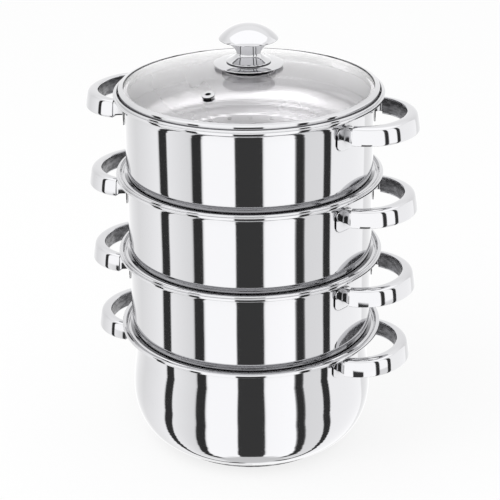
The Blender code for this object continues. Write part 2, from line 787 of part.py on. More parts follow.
def screw_shape():
    """The screw that draws the knob and the cup together through the glass."""
    seat = cup_top_height() - SHEET - FIT_GAP
    tip = foot_height() + SCREW_REACH - FIT_GAP
    outline = [
        (0.0, tip),
        (SCREW_RADIUS, tip),
        (SCREW_RADIUS, seat),
        (SCREW_HEAD_RADIUS, seat),
        (SCREW_HEAD_RADIUS, seat - SCREW_HEAD_HEIGHT),
        (0.0, seat - SCREW_HEAD_HEIGHT),
    ]
    return turned(outline, PIN_STEPS, closed=False)


def vent_place():
    """Where the vent stands on the glass, and how far the dome leans there."""
    sphere = (GLASS_RADIUS ** 2 + GLASS_RISE ** 2) / (2.0 * GLASS_RISE)
    lean = asin(VENT_RADIUS / sphere)
    across = VENT_RADIUS * cos(VENT_AZIMUTH)
    along = VENT_RADIUS * sin(VENT_AZIMUTH)
    return Vector((across, along, dome_height(VENT_RADIUS))), lean


def eyelet_shape():
    """The vent's rolled eyelet: a flange on the washer, a tube and a tail under the glass."""
    flange_low = FIT_GAP + VENT_WASHER_THICKNESS + FIT_GAP
    flange_high = flange_low + EYELET_SHEET
    tail_high = -GLASS_THICKNESS - 2.0 * FIT_GAP
    outline = [
        (EYELET_RADIUS - EYELET_SHEET / 2, flange_high),
        (EYELET_RADIUS, flange_low + EYELET_SHEET / 2),
        (EYELET_RADIUS - EYELET_SHEET / 2, flange_low),
        (EYELET_TUBE_RADIUS, flange_low),
        (EYELET_TUBE_RADIUS, tail_high),
        (EYELET_TAIL_RADIUS, tail_high),
        (EYELET_TAIL_RADIUS, tail_high - EYELET_SHEET),
        (EYELET_BORE, tail_high - EYELET_SHEET),
        (EYELET_BORE, flange_high),
    ]
    return turned(outline, VENT_STEPS, closed=True)


def vent_washer_shape():
    """The soft washer under the eyelet's flange."""
    low = FIT_GAP
    high = low + VENT_WASHER_THICKNESS
    hole = EYELET_TUBE_RADIUS + FIT_GAP
    outline = [(VENT_WASHER_RADIUS, high), (VENT_WASHER_RADIUS, low), (hole, low), (hole, high)]
    return turned(outline, VENT_STEPS, closed=True)


def add_handles(body_name, parent, wall_radius, handle_height, plate_size, plate_height):
    """Two loop handles and their four brackets on one vessel."""
    loop = handle_shape(wall_radius, handle_height)
    brackets = {}
    for end in (1, -1):
        brackets[end] = bracket_shape(wall_radius, plate_size, plate_height, handle_height, end)
    for side, turn, front_end in (("right", 0.0, -1), ("left", pi, 1)):
        add_part(body_name + "_handle_" + side, loop, "polished_steel", parent, turn)
        for place, end in (("front", front_end), ("back", -front_end)):
            name = body_name + "_bracket_" + side + "_" + place
            add_part(name, brackets[end], "polished_steel", parent, turn)


def add_pot():
    """The cooking pot, with its three-layer base."""
    body = add_body("pot_body", 0.0)
    add_part("pot_shell", pot_shell_shape(), "polished_steel", body)
    add_part("pot_base_core", base_core_shape(), "aluminium", body)
    add_part("pot_base_cap", base_cap_shape(), "satin_steel", body)
    handle_height = POT_HEIGHT - POT_HANDLE_DROP
    plate_height = POT_HEIGHT - POT_PLATE_DROP
    plate_size = (POT_PLATE_WIDTH, POT_PLATE_HEIGHT)
    add_handles("pot", body, POT_NECK_RADIUS, handle_height, plate_size, plate_height)
    return body


def add_tiers(pot_body):
    """The three steamer tiers, each carried by the one below."""
    wall = tier_wall_shape()
    tray = tray_shape()
    plate_size = (TIER_PLATE_WIDTH, TIER_PLATE_HEIGHT)
    parent = pot_body
    rise = POT_HEIGHT + TIER_PITCH
    for name in TIER_NAMES:
        parent = add_body(name + "_body", rise, parent)
        add_part(name + "_wall", wall, "polished_steel", parent)
        add_part(name + "_tray", tray, "satin_steel", parent)
        add_handles(name, parent, WALL_RADIUS, -TIER_HANDLE_DROP, plate_size, -TIER_PLATE_DROP)
        rise = TIER_PITCH
    return parent


def add_lid(tier_body):
    """The glass lid with its band, knob and vent."""
    body = add_body("lid_body", 0.0, tier_body)
    add_part("lid_glass", glass_shape(), "glass", body)
    add_part("lid_band", band_shape(), "polished_steel", body)
    add_part("lid_plate_gasket", plate_gasket_shape(), "silicone", body)
    add_part("lid_knob_plate", knob_plate_shape(), "polished_steel", body)
    add_part("lid_knob_body", knob_body_shape(), "polished_steel", body)
    add_part("lid_knob_cap", knob_cap_shape(), "polished_steel", body)
    add_part("lid_cup_gasket", cup_gasket_shape(), "silicone", body)
    add_part("lid_inner_cup", cup_shape(), "satin_steel", body)
    add_part("lid_screw", screw_shape(), "satin_steel", body)
    place, lean = vent_place()
    for name, shape, finish in (
        ("lid_vent_washer", vent_washer_shape(), "silicone"),
        ("lid_vent_eyelet", eyelet_shape(), "polished_steel"),
    ):
        piece = add_part(name, shape, finish, body)
        piece.location = place
        piece.rotation_euler = (0.0, lean, VENT_AZIMUTH)


def main():
    """Build the stack from the table up."""
    clear_scene()
    pot_body = add_pot()
    top_tier = add_tiers(pot_body)
    add_lid(top_tier)


main()
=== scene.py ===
from math import asin, cos, degrees, hypot, pi, radians, sin, sqrt

import bpy
from mathutils import Matrix, Vector


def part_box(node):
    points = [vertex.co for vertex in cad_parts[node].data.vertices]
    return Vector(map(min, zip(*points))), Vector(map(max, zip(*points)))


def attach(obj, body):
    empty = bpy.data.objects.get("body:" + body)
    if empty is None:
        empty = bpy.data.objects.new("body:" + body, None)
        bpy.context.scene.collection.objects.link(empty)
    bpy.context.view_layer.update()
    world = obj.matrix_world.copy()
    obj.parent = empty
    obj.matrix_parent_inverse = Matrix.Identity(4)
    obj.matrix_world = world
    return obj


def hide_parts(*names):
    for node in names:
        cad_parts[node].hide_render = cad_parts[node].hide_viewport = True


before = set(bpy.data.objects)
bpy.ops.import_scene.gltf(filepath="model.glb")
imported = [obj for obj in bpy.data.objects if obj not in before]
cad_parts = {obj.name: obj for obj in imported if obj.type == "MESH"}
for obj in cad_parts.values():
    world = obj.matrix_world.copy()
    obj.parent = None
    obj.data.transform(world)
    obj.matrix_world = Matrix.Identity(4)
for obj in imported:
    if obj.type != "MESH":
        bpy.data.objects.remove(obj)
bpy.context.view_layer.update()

bl_info = {
    "name": "Steamer Pot",
    "version": (1, 0, 0),
    "blender": (4, 5, 0),
    "location": "3D View > Sidebar > Steamer",
    "description": "Fine steel, glass and silicone pieces for a stacked steamer pot, and its studio",
    "category": "Object",
}

MM = 0.001
POT = "pot"
TIERS = ("lower_tier", "middle_tier", "upper_tier")
# How far the stretches beside a bend are held straight, so that they mirror like flat sheet
HOLD = 0.5 * MM
# Points nearer than this are one
MERGE = 0.004 * MM
# Edges that turn by more than this, in degrees, stay sharp
SMOOTH_ANGLE = 32
# Into how many faces a wide piece, a tray, a knob piece and a vent piece are turned
WIDE_STEPS = 144
TRAY_STEPS = 96
KNOB_STEPS = 72
VENT_STEPS = 40


# Sizes and colours


def linear(code):
    """An sRGB hex colour as the linear numbers that shaders take."""
    channels = []
    for start in (1, 3, 5):
        value = int(code[start:start + 2], 16) / 255
        channels.append(value / 12.92 if value <= 0.04045 else ((value + 0.055) / 1.055) ** 2.4)
    return channels


def length(name, description, millimetres):
    """A length that a user may change."""
    kind = {"unit": "LENGTH", "subtype": "DISTANCE", "precision": 5, "min": 0.0}
    return bpy.props.FloatProperty(name=name, description=description, default=millimetres * MM, **kind)


def colour(name, description, code):
    """A colour that a user may change."""
    return bpy.props.FloatVectorProperty(
        name=name, description=description, default=linear(code), size=3, min=0.0, max=1.0, subtype="COLOR"
    )


def share(name, description, default):
    """A number from 0 to 1 that a user may change."""
    return bpy.props.FloatProperty(
        name=name, description=description, default=default, min=0.0, max=1.0, subtype="FACTOR"
    )


class SteamerSizes(bpy.types.PropertyGroup):
    pot_height: length("Pot height", "From the table to the top of the pot's lip", 115.0)
    tier_pitch: length("Tier pitch", "From one vessel's lip to the next one's", 74.5)
    lip_radius: length("Lip radius", "From the axis to the outside of the rolled bead", 120.0)
    wall_radius: length("Wall radius", "Outside of a tier's straight wall", 110.8)
    pot_neck_radius: length("Pot neck radius", "Outside of the pot's neck", 107.5)
    sheet: length("Sheet", "Thickness of the pressed steel", 0.8)
    glass_rise: length("Glass rise", "Height of the lid's dome above its edge", 19.0)
    camera_distance: length("Camera distance", "From the camera to the point it looks at", 1474.0)


class SteamerFinishes(bpy.types.PropertyGroup):
    steel: colour("Steel", "Face colour of mirror-polished stainless steel", "#C5C5C7")
    satin: colour("Satin steel", "Face colour of brushed stainless steel", "#D2D2D3")
    dull: colour("Dull steel", "Face colour of stainless steel that no wheel has reached", "#98989A")
    aluminium: colour("Aluminium", "Colour of the rolled disc in the base", "#CDCED1")
    glass: colour("Glass", "Tint of the tempered glass", "#FBFAFB")
    silicone: colour("Silicone", "Colour of the washers", "#1F1F20")
    paper: colour("Paper", "Colour of the studio floor", "#F2F2F2")
    polish: share("Polish", "Roughness of the mirror-polished faces", 0.045)
    brushing: share("Brushing", "Roughness of the brushed faces", 0.27)


# Materials


def add_node(tree, kind, inputs=(), output=0, **settings):
    """Add a node and feed its inputs with values or sockets. Gives back one output, or all of them."""
    node = tree.nodes.new("ShaderNode" + kind)
    for name, value in settings.items():
        setattr(node, name, value)
    for socket, value in dict(inputs).items():
        if isinstance(value, bpy.types.NodeSocket):
            tree.links.new(value, node.inputs[socket])
        else:
            node.inputs[socket].default_value = value
    return node.outputs if output is None else node.outputs[output]


def seen_directly(tree, path):
    """1 for what the camera sees, by itself or through the glass."""
    rays = {0: path["Is Camera Ray"], 1: path["Is Transmission Ray"]}
    return add_node(tree, "Math", rays, operation="MAXIMUM")


def mirror_steel(tree, finishes):
    """18/10 stainless steel, rolled and buffed with a rouge wheel: a clear mirror with a faint
    orange-peel waviness of the sheet and hairlines that the buffing wheel left round the pot.

    Deep in the narrow places under a rim the steel's colour is painted darker: painted shade, where the real
    steel only lies in shade."""
    place = add_node(tree, "TexCoord", output="Object")
    # waviness of the pressed sheet, one swell every 45 mm or so
    swell = add_node(tree, "TexNoise", {"Vector": place, "Scale": 22.0, "Detail": 1.0})
    wave = add_node(tree, "Bump", {"Height": swell, "Strength": 0.12, "Distance": 0.0006})
    # hairlines run round the axis: long in plan and 0.5 mm apart in height, coarser than real to show
    drawn_out = add_node(tree, "Mapping", {"Vector": place, "Scale": (6.0, 6.0, 900.0)})
    hairs = add_node(tree, "TexNoise", {"Vector": drawn_out, "Scale": 2.0, "Detail": 3.0})
    clearest, dullest = finishes.polish * 0.6, finishes.polish * 1.5
    hair_range = {"From Min": 0.3, "From Max": 0.75, "To Min": clearest, "To Max": dullest}
    rough = add_node(tree, "MapRange", {"Value": hairs, **hair_range})
    # painted shade: the colour is darkened in crevices within 9 mm of other steel, but not on the faces that
    # look up out of them
    openness = add_node(tree, "AmbientOcclusion", {"Distance": 9 * MM}, "AO", samples=6)
    painted_shade_range = {"From Min": 0.36, "From Max": 0.86, "To Min": PAINTED_CREVICE_SHADE}
    # reached is painted shade: it darkens the steel's colour where other steel is near, where there is only
    # shade
    reached = add_node(tree, "MapRange", {"Value": openness, **painted_shade_range})
    normal = add_node(tree, "NewGeometry", output="Normal")
    slope = add_node(tree, "SeparateXYZ", {0: normal}, "Z")
    upward = add_node(tree, "MapRange", {"Value": slope, "From Min": 0.1, "From Max": 0.5})
    # tone is 1 on open and upward faces and lower in crevices, as painted shade
    tone = add_node(tree, "Math", {0: reached, 1: upward}, operation="MAXIMUM")
    tint = add_node(tree, "VectorMath", {0: finishes.steel, "Scale": tone}, operation="SCALE")
    look = {"Base Color": tint, "Metallic": 1.0, "Roughness": rough, "Normal": wave}
    return add_node(tree, "BsdfPrincipled", look)


def brushed_steel(tree, finishes):
    """Stainless steel brushed on a turntable: rings of fine scratches that spread each
    highlight across them, duller than the outside."""
    place = add_node(tree, "TexCoord", output="Object")
    split = add_node(tree, "SeparateXYZ", {0: place}, output=None)
    across = add_node(tree, "CombineXYZ", {0: split["X"], 1: split["Y"]})
    radius = add_node(tree, "VectorMath", {0: across}, "Value", operation="LENGTH")
    rings = add_node(tree, "CombineXYZ", {0: radius, 1: split["Z"]})
    # scratches 0.6 mm apart, drawn coarser than the real 0.1 mm so that they show
    scratches = add_node(tree, "TexNoise", {"Vector": rings, "Scale": 1600.0, "Detail": 2.0})
    # patches of 70 mm, where the brush pressed harder or lighter
    cloud = add_node(tree, "TexNoise", {"Vector": place, "Scale": 14.0, "Detail": 3.0})
    finest, coarsest = finishes.brushing - 0.05, finishes.brushing + 0.07
    cloud_range = {"From Min": 0.3, "From Max": 0.7, "To Min": finest, "To Max": coarsest}
    look = {
        "Base Color": (*finishes.satin, 1.0),
        "Metallic": 1.0,
        "Anisotropic": 0.55,
        "Roughness": add_node(tree, "MapRange", {"Value": cloud, **cloud_range}),
        "Normal": add_node(tree, "Bump", {"Height": scratches, "Strength": 0.25, "Distance": 0.00005}),
        "Tangent": add_node(tree, "Tangent", direction_type="RADIAL", axis="Z"),
    }
    return add_node(tree, "BsdfPrincipled", look)


def dull_steel(tree, finishes):
    """Stainless steel as it leaves the press: pickled grey, with cloudy patches where the
    drawing oil lay, so that it gives back soft shapes and no clear picture."""
    place = add_node(tree, "TexCoord", output="Object")
    # clouds of 6 mm, flatter than they are wide
    flattened = add_node(tree, "Mapping", {"Vector": place, "Scale": (1.0, 1.0, 2.5)})
    cloud = add_node(tree, "TexNoise", {"Vector": flattened, "Scale": 160.0, "Detail": 4.0})
    shade = add_node(tree, "MapRange", {"Value": cloud, "From Min": 0.35, "From Max": 0.65, "To Min": 0.35})
    tint = add_node(tree, "VectorMath", {0: finishes.dull, "Scale": shade}, operation="SCALE")
    rough = add_node(tree, "MapRange", {"Value": cloud, "To Min": 0.30, "To Max": 0.45})
    return add_node(tree, "BsdfPrincipled", {"Base Color": tint, "Metallic": 1.0, "Roughness": rough})


def rolled_aluminium(tree, finishes):
    """Rolled aluminium disc: soft grey metal with straight mill lines."""
    place = add_node(tree, "TexCoord", output="Object")
    # mill lines 1.1 mm apart and 33 mm long, drawn coarser than real so that they show
    drawn_out = add_node(tree, "Mapping", {"Vector": place, "Scale": (30.0, 900.0, 30.0)})
    lines = add_node(tree, "TexNoise", {"Vector": drawn_out, "Scale": 1.0, "Detail": 3.0})
    rough = add_node(tree, "MapRange", {"Value": lines, "To Min": 0.32, "To Max": 0.46})
    look = {"Base Color": (*finishes.aluminium, 1.0), "Metallic": 1.0, "Roughness": rough}
    return add_node(tree, "BsdfPrincipled", look)


def tempered_glass(tree, finishes):
    """Clear soda-lime glass, pressed and tempered: colourless, with a slight roller wave.

    Shadow rays pass through it, as light passes through a real lid."""
    colour = (*finishes.glass, 1.0)
    place = add_node(tree, "TexCoord", output="Object")
    # one wave every 55 mm or so
    rolled = add_node(tree, "TexNoise", {"Vector": place, "Scale": 18.0, "Detail": 1.0})
    ripple = add_node(tree, "Bump", {"Height": rolled, "Strength": 0.008, "Distance": 0.0008})
    look = {"Base Color": colour, "Roughness": 0.0, "IOR": 1.52, "Transmission Weight": 1.0, "Normal": ripple}
    glass = add_node(tree, "BsdfPrincipled", look)
    clear = add_node(tree, "BsdfTransparent", {"Color": colour})
    shadow = add_node(tree, "LightPath", output="Is Shadow Ray")
    return add_node(tree, "MixShader", {"Fac": shadow, 1: glass, 2: clear})


def moulded_silicone(tree, finishes):
    """Moulded silicone rubber: matt and dark, with the fine grain of a blasted mould."""
    place = add_node(tree, "TexCoord", output="Object")
    # mould grain of 0.4 mm
    grain = add_node(tree, "TexNoise", {"Vector": place, "Scale": 2500.0, "Detail": 2.0})
    look = {
        "Base Color": (*finishes.silicone, 1.0),
        "IOR": 1.41,
        "Roughness": add_node(tree, "MapRange", {"Value": grain, "To Min": 0.45, "To Max": 0.62}),
        "Normal": add_node(tree, "Bump", {"Height": grain, "Strength": 0.3, "Distance": 0.00003}),
    }
    return add_node(tree, "BsdfPrincipled", look)


def seamless_paper(tree, finishes):
    """Matt seamless paper, with faint fibres. The camera sees it as white, with a soft shadow."""
    place = add_node(tree, "TexCoord", output="Object")
    # fibres of 1 mm
    pulp = add_node(tree, "TexNoise", {"Vector": place, "Scale": 900.0, "Detail": 3.0})
    fibres = add_node(tree, "Bump", {"Height": pulp, "Strength": 0.1, "Distance": 0.0001})
    matt = add_node(tree, "BsdfDiffuse", {"Color": (*finishes.paper, 1.0), "Normal": fibres})
    white = add_node(tree, "Emission", {"Color": grey(1.0), "Strength": 1.0})
    seen = seen_directly(tree, add_node(tree, "LightPath", output=None))
    share_white = add_node(tree, "Math", {0: seen, 1: PAPER_WHITE}, operation="MULTIPLY")
    return add_node(tree, "MixShader", {"Fac": share_white, 1: matt, 2: white})


MIRROR = "stainless_steel_mirror_buffed"
BRUSHED = "stainless_steel_turntable_brushed"
DULL = "stainless_steel_pickled_dull"
ALUMINIUM = "aluminium_rolled"
GLASS = "soda_lime_glass_tempered"
SILICONE = "silicone_rubber_moulded"
PAPER = "seamless_paper_matt"
FINISH_MAKERS = {
    MIRROR: mirror_steel,
    BRUSHED: brushed_steel,
    DULL: dull_steel,
    ALUMINIUM: rolled_aluminium,
    GLASS: tempered_glass,
    SILICONE: moulded_silicone,
    PAPER: seamless_paper,
}
# How much of the steel's colour the painted shade leaves deep in a crevice, and how far the floor glows white
# by itself
PAINTED_CREVICE_SHADE = 0.46
PAPER_WHITE = 0.80


def finish(name):
    """The material of a finish, made when it is first asked for."""
    if name not in bpy.data.materials:
        material = bpy.data.materials.new(name)
        material.use_nodes = True
        tree = material.node_tree
        tree.nodes.clear()
        shader = FINISH_MAKERS[name](tree, bpy.context.scene.steamer_finishes)
        add_node(tree, "OutputMaterial", {"Surface": shader}, output=None)
    return bpy.data.materials[name]


# Modelling helpers


def deselect_all():
    """Leave object mode and drop every selection."""
    if bpy.context.object and bpy.context.object.mode != "OBJECT":
        mode("OBJECT")
    bpy.ops.object.select_all(action="DESELECT")


def mode(name):
    """Go to edit mode or back to object mode."""
    bpy.ops.object.mode_set(mode=name)


def only(piece):
    """Select one piece and nothing else."""
    deselect_all()
    piece.select_set(True)
    bpy.context.view_layer.objects.active = piece


def rename(piece, name):
    """Name a piece and its mesh."""
    piece.name = name
    piece.data.name = name


def smooth(piece, angle=SMOOTH_ANGLE):
    """Shade a piece smoothly, all but its sharp edges."""
    only(piece)
    bpy.ops.object.shade_smooth_by_angle(angle=radians(angle))


def arc(centre_radius, centre_height, radius, start, end, steps):
    """Points of a round stretch of an outline, from one angle in degrees to another."""
    points = []
    for step in range(steps + 1):
        angle = radians(start + (end - start) * step / steps)
        points.append((centre_radius + radius * cos(angle), centre_height + radius * sin(angle)))
    return points


def ease(t):
    """What a smooth S takes of its start, its way out, its end and its way in, a share t along it."""
    return 2 * t ** 3 - 3 * t ** 2 + 1, t ** 3 - 2 * t ** 2 + t, 3 * t ** 2 - 2 * t ** 3, t ** 3 - t ** 2


def curve(start, end, out_slope, in_slope, steps):
    """A smooth S between two points of an outline, leaving and arriving in given directions."""
    ways = (start, out_slope, end, in_slope)
    points = []
    for step in range(1, steps):
        weights = ease(step / steps)
        points.append(tuple(sum(weight * way[axis] for weight, way in zip(weights, ways)) for axis in (0, 1)))
    return points


def held(points, closed):
    """Add rings just beside the bends of an outline, which keep long stretches straight."""
    if closed:
        points = points + points[:1]
    out = [points[0]]
    for first, last in zip(points, points[1:]):
        run = hypot(last[0] - first[0], last[1] - first[1])
        if run > 5 * HOLD:
            for way in (HOLD / run, 1 - HOLD / run):
                out.append((first[0] + (last[0] - first[0]) * way, first[1] + (last[1] - first[1]) * way))
        out.append(last)
    return out


def raised(points, height):
    """An outline moved up the axis."""
    return [(radius, level + height) for radius, level in points]


def face_outwards(piece, angle):
    """Turn the faces of a piece that is being edited outwards, and shade it smoothly."""
    bpy.ops.mesh.select_all(action="SELECT")
    bpy.ops.mesh.normals_make_consistent(inside=False)
    smooth(piece, angle)
    return piece


def spin_piece(name, outline, steps, closed):
    """Draw an outline vertex by vertex in edit mode and spin it round the axis."""
    points = held(outline, closed)
    deselect_all()
    bpy.ops.mesh.primitive_plane_add(size=MM)
    piece = bpy.context.object
    rename(piece, name)
    mode("EDIT")
    bpy.ops.mesh.merge(type="CENTER")
    bpy.ops.transform.translate(value=(points[0][0], 0.0, points[0][1]))
    for first, last in zip(points, points[1:]):
        step = (last[0] - first[0], 0.0, last[1] - first[1])
        bpy.ops.mesh.extrude_vertices_move(TRANSFORM_OT_translate={"value": step})
    bpy.ops.mesh.select_all(action="SELECT")
    bpy.ops.mesh.spin(steps=steps, angle=2 * pi, center=(0.0, 0.0, 0.0), axis=(0.0, 0.0, 1.0))
    bpy.ops.mesh.select_all(action="SELECT")
    bpy.ops.mesh.remove_doubles(threshold=MERGE)
    return face_outwards(piece, SMOOTH_ANGLE)


def sweep_piece(name, section, stations, sharp=50):
    """Extrude a flat section through a row of stations and set each ring in its place.

    A station is its centre, the direction across, the direction up, and the section's two sizes.
    """
    deselect_all()
    bpy.ops.mesh.primitive_circle_add(vertices=len(section), radius=MM, fill_type="NGON")
    piece = bpy.context.object
    rename(piece, name)
    for vert, (across, up) in zip(piece.data.vertices, section):
        vert.co = (0.0, across, up)
    mode("EDIT")
    bpy.ops.mesh.select_all(action="SELECT")
    for _ in stations[1:]:
        bpy.ops.mesh.extrude_region_move(TRANSFORM_OT_translate={"value": (1.0, 0.0, 0.0)})
    mode("OBJECT")
    for vert in piece.data.vertices:
        centre, across, up, wide, tall = stations[round(vert.co.x)]
        vert.co = centre + across * (vert.co.y * wide) + up * (vert.co.z * tall)
    mode("EDIT")
    return face_outwards(piece, sharp)


def apply_modifier(piece, kind, **settings):
    """Add a modifier to a piece and apply it."""
    only(piece)
    modifier = piece.modifiers.new(kind.lower(), kind)
    for name, value in settings.items():
        setattr(modifier, name, value)
    bpy.ops.object.modifier_apply(modifier=modifier.name)


def twin(piece, name, matrix):
    """A copy of a piece with its own mesh, moved within that mesh."""
    only(piece)
    bpy.ops.object.duplicate(linked=False)
    copy = bpy.context.object
    rename(copy, name)
    copy.data.transform(matrix)
    if matrix.determinant() < 0:
        copy.data.flip_normals()
    return copy


def join_pieces(name, pieces):
    """Join pieces into one object."""
    deselect_all()
    for piece in pieces:
        piece.select_set(True)
    bpy.context.view_layer.objects.active = pieces[0]
    bpy.ops.object.join()
    rename(pieces[0], name)
    return pieces[0]


def drop_piece(piece):
    """Remove a helper object."""
    bpy.data.objects.remove(piece, do_unlink=True)


def dress(piece, node, body, slot_name, *finishes):
    """Give a piece its finishes, let it ride on its body and stand for its node."""
    for name in finishes:
        piece.data.materials.append(finish(name))
    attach(piece, body)
    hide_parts(node)


def brush_inside(piece, below):
    """Give the faces that look at the axis or straight up, below a height, the piece's second finish."""
    for face in piece.data.polygons:
        inward = face.normal.x * face.center.x + face.normal.y * face.center.y < 0
        if face.center.z < below and (inward or face.normal.z > 0.9):
            face.material_index = 1


def turn(angle):
    """A turn round the stack's axis."""
    return Matrix.Rotation(angle, 4, "Z")


def lift(height):
    """A move up the stack's axis."""
    return Matrix.Translation((0.0, 0.0, height))


def lip_level(sizes, place):
    """Height of a vessel's lip, from the pot at place 0 to the top tier at place 3."""
    return sizes.pot_height + sizes.tier_pitch * place


def sphere_radius(half_width, rise):
    """The radius of a dome, from half its width and its rise."""
    return (half_width ** 2 + rise ** 2) / (2 * rise)


# The flared mouth

LEDGE_DROP = 2.0 * MM
LIP_UNDERSIDE = -3.8 * MM
SEAT_INSET = 9.8 * MM
SEAT_ROUND = 2.0 * MM
TIER_FILLET = 7.8 * MM
POT_FILLET = 6.0 * MM
FIT = 0.3 * MM
# How far below the lip the brushed inside begins
BRUSHED_BELOW = 5.0 * MM
# Rounds of the mouth's edge. Each has its centre's way in and down from the outside of the lip and
# its radius, in millimetres, the angles it goes through, in degrees, and its steps
TIER_EDGE = (
    # the ridge, inner and outer side, and the corner beside it
    (2.6, 0.8, 0.8, 178, 90, 6),
    (2.4, 0.8, 0.8, 90, 0, 6),
    (1.3, 1.4, 0.3, 180, 270, 4),
    # the ledge's outer edge and the band's lower one
    (0.5, 2.2, 0.5, 90, 0, 5),
    (1.1, 3.4, 1.1, 0, -90, 7),
)
# the fold's two shoulders and the hem under it
POT_EDGE = ((2.6, 1.2, 1.2, 178, 90, 6), (1.2, 1.2, 1.2, 90, 0, 8), (0.5, 2.4, 0.5, 0, -90, 4))
HEM_INSET = 5.0 * MM
HEM_DROP = 3.7 * MM
# the raised ring and the trough beside the seat
RING_AND_TROUGH = ((7.3, 2.35, 0.65, 125, 40, 5), (5.35, 1.6, 0.85, 225, 320, 6))


def rounds(lip, rows):
    """The points of a row of rounds."""
    points = []
    for inset, drop, radius, start, end, steps in rows:
        points += arc(lip - inset * MM, -drop * MM, radius * MM, start, end, steps)
    return points


def under_lip(wall, fillet):
    """From the lip's underside round the fillet to the wall."""
    return arc(wall + fillet, LIP_UNDERSIDE - fillet, fillet, 90, 180, 16)


def mouth_inside(sizes, inner):
    """From the wall up over the rounded seat, the raised ring and the trough to the edge."""
    seat = sizes.lip_radius - SEAT_INSET
    seat_level = -LEDGE_DROP - SEAT_ROUND
    points = [(inner, seat_level - 2 * abs(seat - SEAT_ROUND - inner))]
    points += arc(seat, seat_level, SEAT_ROUND, 180, 90, 9)
    return points + rounds(sizes.lip_radius, RING_AND_TROUGH)


# Tier walls

SHOULDER = 18.0 * MM
SHOULDER_TURN = 42
NEST_ROUND = 3.0 * MM
NEST_DEPTH = 14.0 * MM


def wall_end(sizes):
    """Height above the lower lip at which a tier's straight wall gives way to its shoulder."""
    across = sizes.lip_radius - SEAT_INSET - (sizes.wall_radius - SHOULDER)
    return sqrt((SHOULDER + SEAT_ROUND + FIT) ** 2 - across ** 2) - LEDGE_DROP - SEAT_ROUND


def shoulder(sizes, offset):
    """The rounded shoulder and the nest ring, down one side of the sheet."""
    centre = sizes.wall_radius - SHOULDER
    level = wall_end(sizes) - sizes.tier_pitch
    bend = SHOULDER + NEST_ROUND
    nest = centre + bend * cos(radians(SHOULDER_TURN))
    bend_level = level - bend * sin(radians(SHOULDER_TURN))
    points = arc(centre, level, SHOULDER - offset, 0, -SHOULDER_TURN, 16)
    return points + arc(nest, bend_level, NEST_ROUND + offset, 180 - SHOULDER_TURN, 180, 6)


def tier_wall_outline(sizes):
    """A tier's wall in section, lip to nest ring and back up inside."""
    sheet = sizes.sheet
    bottom = -sizes.tier_pitch - NEST_DEPTH
    lower = shoulder(sizes, 0.0)
    nest = lower[-1][0]
    hem = arc(nest - sheet / 2, bottom + sheet / 2, sheet / 2, 0, -180, 6)
    inside = shoulder(sizes, sheet)[::-1] + mouth_inside(sizes, sizes.wall_radius - sheet)
    edge = rounds(sizes.lip_radius, TIER_EDGE)
    return edge + under_lip(sizes.wall_radius, TIER_FILLET) + lower + hem + inside


class STEAMER_OT_tier_walls(bpy.types.Operator):
    """Spin the walls of the three steamer tiers, mirror-buffed outside and brushed inside"""

    bl_idname = "steamer.tier_walls"
    bl_label = "Tier walls"

    def execute(self, context):
        sizes = context.scene.steamer_sizes
        wall = spin_piece("tier_wall", tier_wall_outline(sizes), WIDE_STEPS, closed=True)
        for place, body in enumerate(TIERS, 1):
            rise = lip_level(sizes, place)
            piece = twin(wall, body + "_wall_fine", lift(rise))
            dress(piece, body + "_wall", body, "polished_steel", MIRROR, BRUSHED)
            brush_inside(piece, rise - BRUSHED_BELOW)
        drop_piece(wall)
        return {"FINISHED"}


# Trays

TRAY_CORNER = 20.0 * MM
TRAY_DEPTH = 46.0 * MM
FIELD_EDGE = 66.2 * MM
FLOOR_EDGE = 68.4 * MM
FIELD_SINK = 1.2 * MM
COLLAR_HEIGHT = 4.0 * MM
HOLE_RADIUS = 2.2 * MM
HOLE_PITCH = 19.0 * MM


def tray_outline(sizes):
    """A tray in section: sunken field, rounded corner and collar."""
    sheet = sizes.sheet
    rim = sizes.wall_radius - sheet - FIT
    corner = rim - TRAY_CORNER
    level = -TRAY_DEPTH - sheet + TRAY_CORNER
    field = -TRAY_DEPTH - FIELD_SINK
    slope = (2.6 * MM, 0.0)
    flat = [(0.0, field), (FIELD_EDGE, field)]
    flat += curve(flat[-1], (FLOOR_EDGE, -TRAY_DEPTH), slope, slope, 6)
    flat.append((FLOOR_EDGE, -TRAY_DEPTH))
    bend = arc(corner, level, TRAY_CORNER - sheet, -90, 0, 18)
    collar = arc(rim - sheet / 2, level + COLLAR_HEIGHT, sheet / 2, 180, 0, 4)
    under = raised(flat + bend[:1], -sheet)[::-1]
    return flat + bend + collar + arc(corner, level, TRAY_CORNER, 0, -90, 18) + under


def hole_places():
    """Rings of punched holes round a middle one, each ring with six more than the last."""
    places = [(0.0, 0.0)]
    for ring in (1, 2, 3):
        first = 30 / ring
        places += arc(0.0, 0.0, ring * HOLE_PITCH, first, first + 360, 6 * ring)[:-1]
    return places


def punch(piece, places, radius, height, depth, sides):
    """Cut round holes straight through a piece."""
    pins = []
    size = {"vertices": sides, "radius": radius, "depth": depth}
    for x, y in places:
        deselect_all()
        bpy.ops.mesh.primitive_cylinder_add(location=(x, y, height), **size)
        pins.append(bpy.context.object)
    punches = join_pieces("punches", pins)
    apply_modifier(piece, "BOOLEAN", operation="DIFFERENCE", solver="EXACT", object=punches)
    drop_piece(punches)


class STEAMER_OT_trays(bpy.types.Operator):
    """Spin the punched trays and weld one into each tier"""

    bl_idname = "steamer.trays"
    bl_label = "Trays"

    def execute(self, context):
        sizes = context.scene.steamer_sizes
        tray = spin_piece("tray", tray_outline(sizes), TRAY_STEPS, closed=False)
        middle = -TRAY_DEPTH - FIELD_SINK - sizes.sheet / 2
        punch(tray, hole_places(), HOLE_RADIUS, middle, 8 * MM, 24)
        smooth(tray)
        for place, body in enumerate(TIERS, 1):
            piece = twin(tray, body + "_tray_fine", lift(lip_level(sizes, place)))
            dress(piece, body + "_tray", body, "satin_steel", BRUSHED)
        drop_piece(tray)
        return {"FINISHED"}


# Pot

